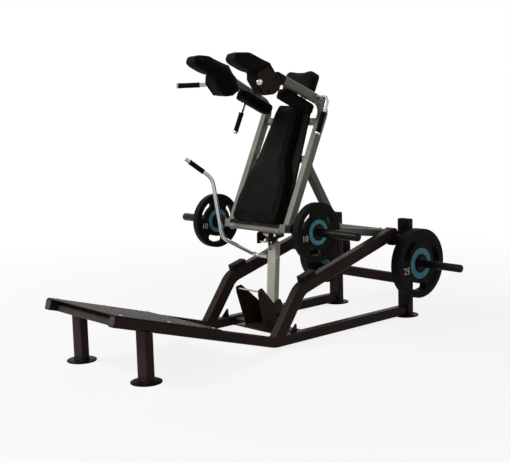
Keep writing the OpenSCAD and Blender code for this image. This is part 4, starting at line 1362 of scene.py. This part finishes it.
def hex_bolt(at, axis, across):
    """Hexagon head on a washer: a bevelled six-sided slab over a thin disc."""
    hexagon = polygon_outline(6, BOLT / math.sqrt(3))
    head = slab(hexagon, 0.62 * BOLT, 0.08 * BOLT, at + 0.15 * BOLT * axis, across, np.cross(axis, across))
    return [head, turned(washer_profile, at, axis, 32)]


buttons = []
pad_bolts = []
for s in SIDES:
    for place in TREAD_BOLTS:
        at = on_ramp(s * RAIL_X, place * TREAD_LEN, TREAD_TOP)
        buttons.append(turned(button_profile, at, RAMP_UP, 32))
    for ahead, up in SIDE_PLATE_BOLTS:
        pad_bolts += hex_bolt(on_back(s * PLATE_FACE, ahead, ARM_UP + up), s * X_AXIS, BACK_UP)
    for side, up in zip(BOARD_BOLTS, CROSSBAR_UPS):
        pad_bolts += hex_bolt(on_back(s * side, 2 * CROSSBAR_AHEAD, up), -BACK_FORWARD, X_AXIS)
put_mesh("tread_bolts", buttons, bare_steel, "base", ["platform_bolts"])
put_mesh("cushion_bolts", pad_bolts, horn_paint, "carriage")

# %% Nuts and the prop's fittings
NUT_SEAT = 0.003
POST_LEAN = math.radians(4)
POST_FACE = 0.0198
SLOT_UP = 0.402
SLOT_SIDE = 0.012
POST_BOLT = (0.040, REAR_Y - 0.885, 0.472)
POST_FRONT, POST_UP = tilted(POST_LEAN)
nut_profile = ((0, 0.0125), (0.005, 0.0125), (0.006, 0.0105), (0.010, 0.0095), (0.0135, 0.006), (0.0145, 0))
nuts = []
for node in ("prop_hinge_pin", "stop_rod"):
    low, high = (np.array(corner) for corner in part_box(node))
    middle = (low + high) / 2
    half = (high[0] - low[0]) / 2 - NUT_SEAT
    nuts += [turned(nut_profile, middle + s * half * X_AXIS, s * X_AXIS, 32) for s in SIDES]
put_mesh("yoke_nuts", nuts, base_paint, "base")
put_mesh("post_bolt", [turned(button_profile, np.array(POST_BOLT), X_AXIS, 32)], bare_steel, "prop")
# the slot in the prop post isn't cut: a thin near-black plate on the post's front is painted shade where the
# slot would be dark
slot_at = HINGE + SLOT_UP * POST_UP + POST_FACE * POST_FRONT - SLOT_SIDE * X_AXIS
post_slot_painted_shade = slab(rounded_outline(0.024, 0.008, 0.0038), 0.0008, 0.0003, slot_at, X_AXIS, POST_UP)
put_mesh("post_slot_painted_shade", [post_slot_painted_shade], slot_painted_shade, "prop")

# %% [markdown]
# ## Lever ends and lugs
# A thin plate closes the open end of each lever arm. On each rail stands a small three-cornered lug, cut
# from plate and welded beside the floor crossmember. Both are flat plates, so the outline and slab helpers
# make them.

# %% Lever ends and lugs
END_T = 0.004
END_SINK = 0.001
LUG_T = 0.008
LUG_OUTLINE = ((0, 0), (0.052, 0), (0.048, 0.010), (0.012, 0.046), (0.003, 0.046))
LUG_Y = FLOOR_CROSS_Y - 0.052
LUG_Z = 0.0715
end_outline = rounded_outline(0.049, 0.049, 0.007)
ends = []
lugs = []
for s in SIDES:
    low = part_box("lever_arm_" + WORD[s])[0]
    reach = (PIVOT[1] - low[1]) / math.cos(LEVER_RISE) - TUBE / 2 * math.tan(LEVER_RISE)
    tip = PIVOT + (reach - END_SINK) * LEVER + s * FRAME_X * X_AXIS
    ends.append(slab(end_outline, END_T, 0.0012, tip, X_AXIS, LEVER_UP))
    lug_at = np.array((s * RAIL_X - LUG_T / 2, LUG_Y, LUG_Z))
    lugs.append(slab(LUG_OUTLINE, LUG_T, 0.001, lug_at, -Y_AXIS, Z_AXIS))
put_mesh("lever_ends", ends, frame_paint, "carriage")
put_mesh("rail_lugs", lugs, base_paint, "base")

# %% [markdown]
# ## Measure and finish
# The box of the dressed machine is printed.

# %% Size and finish
low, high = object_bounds()
print("visual size", [round(b - a, 3) for a, b in zip(low, high)])
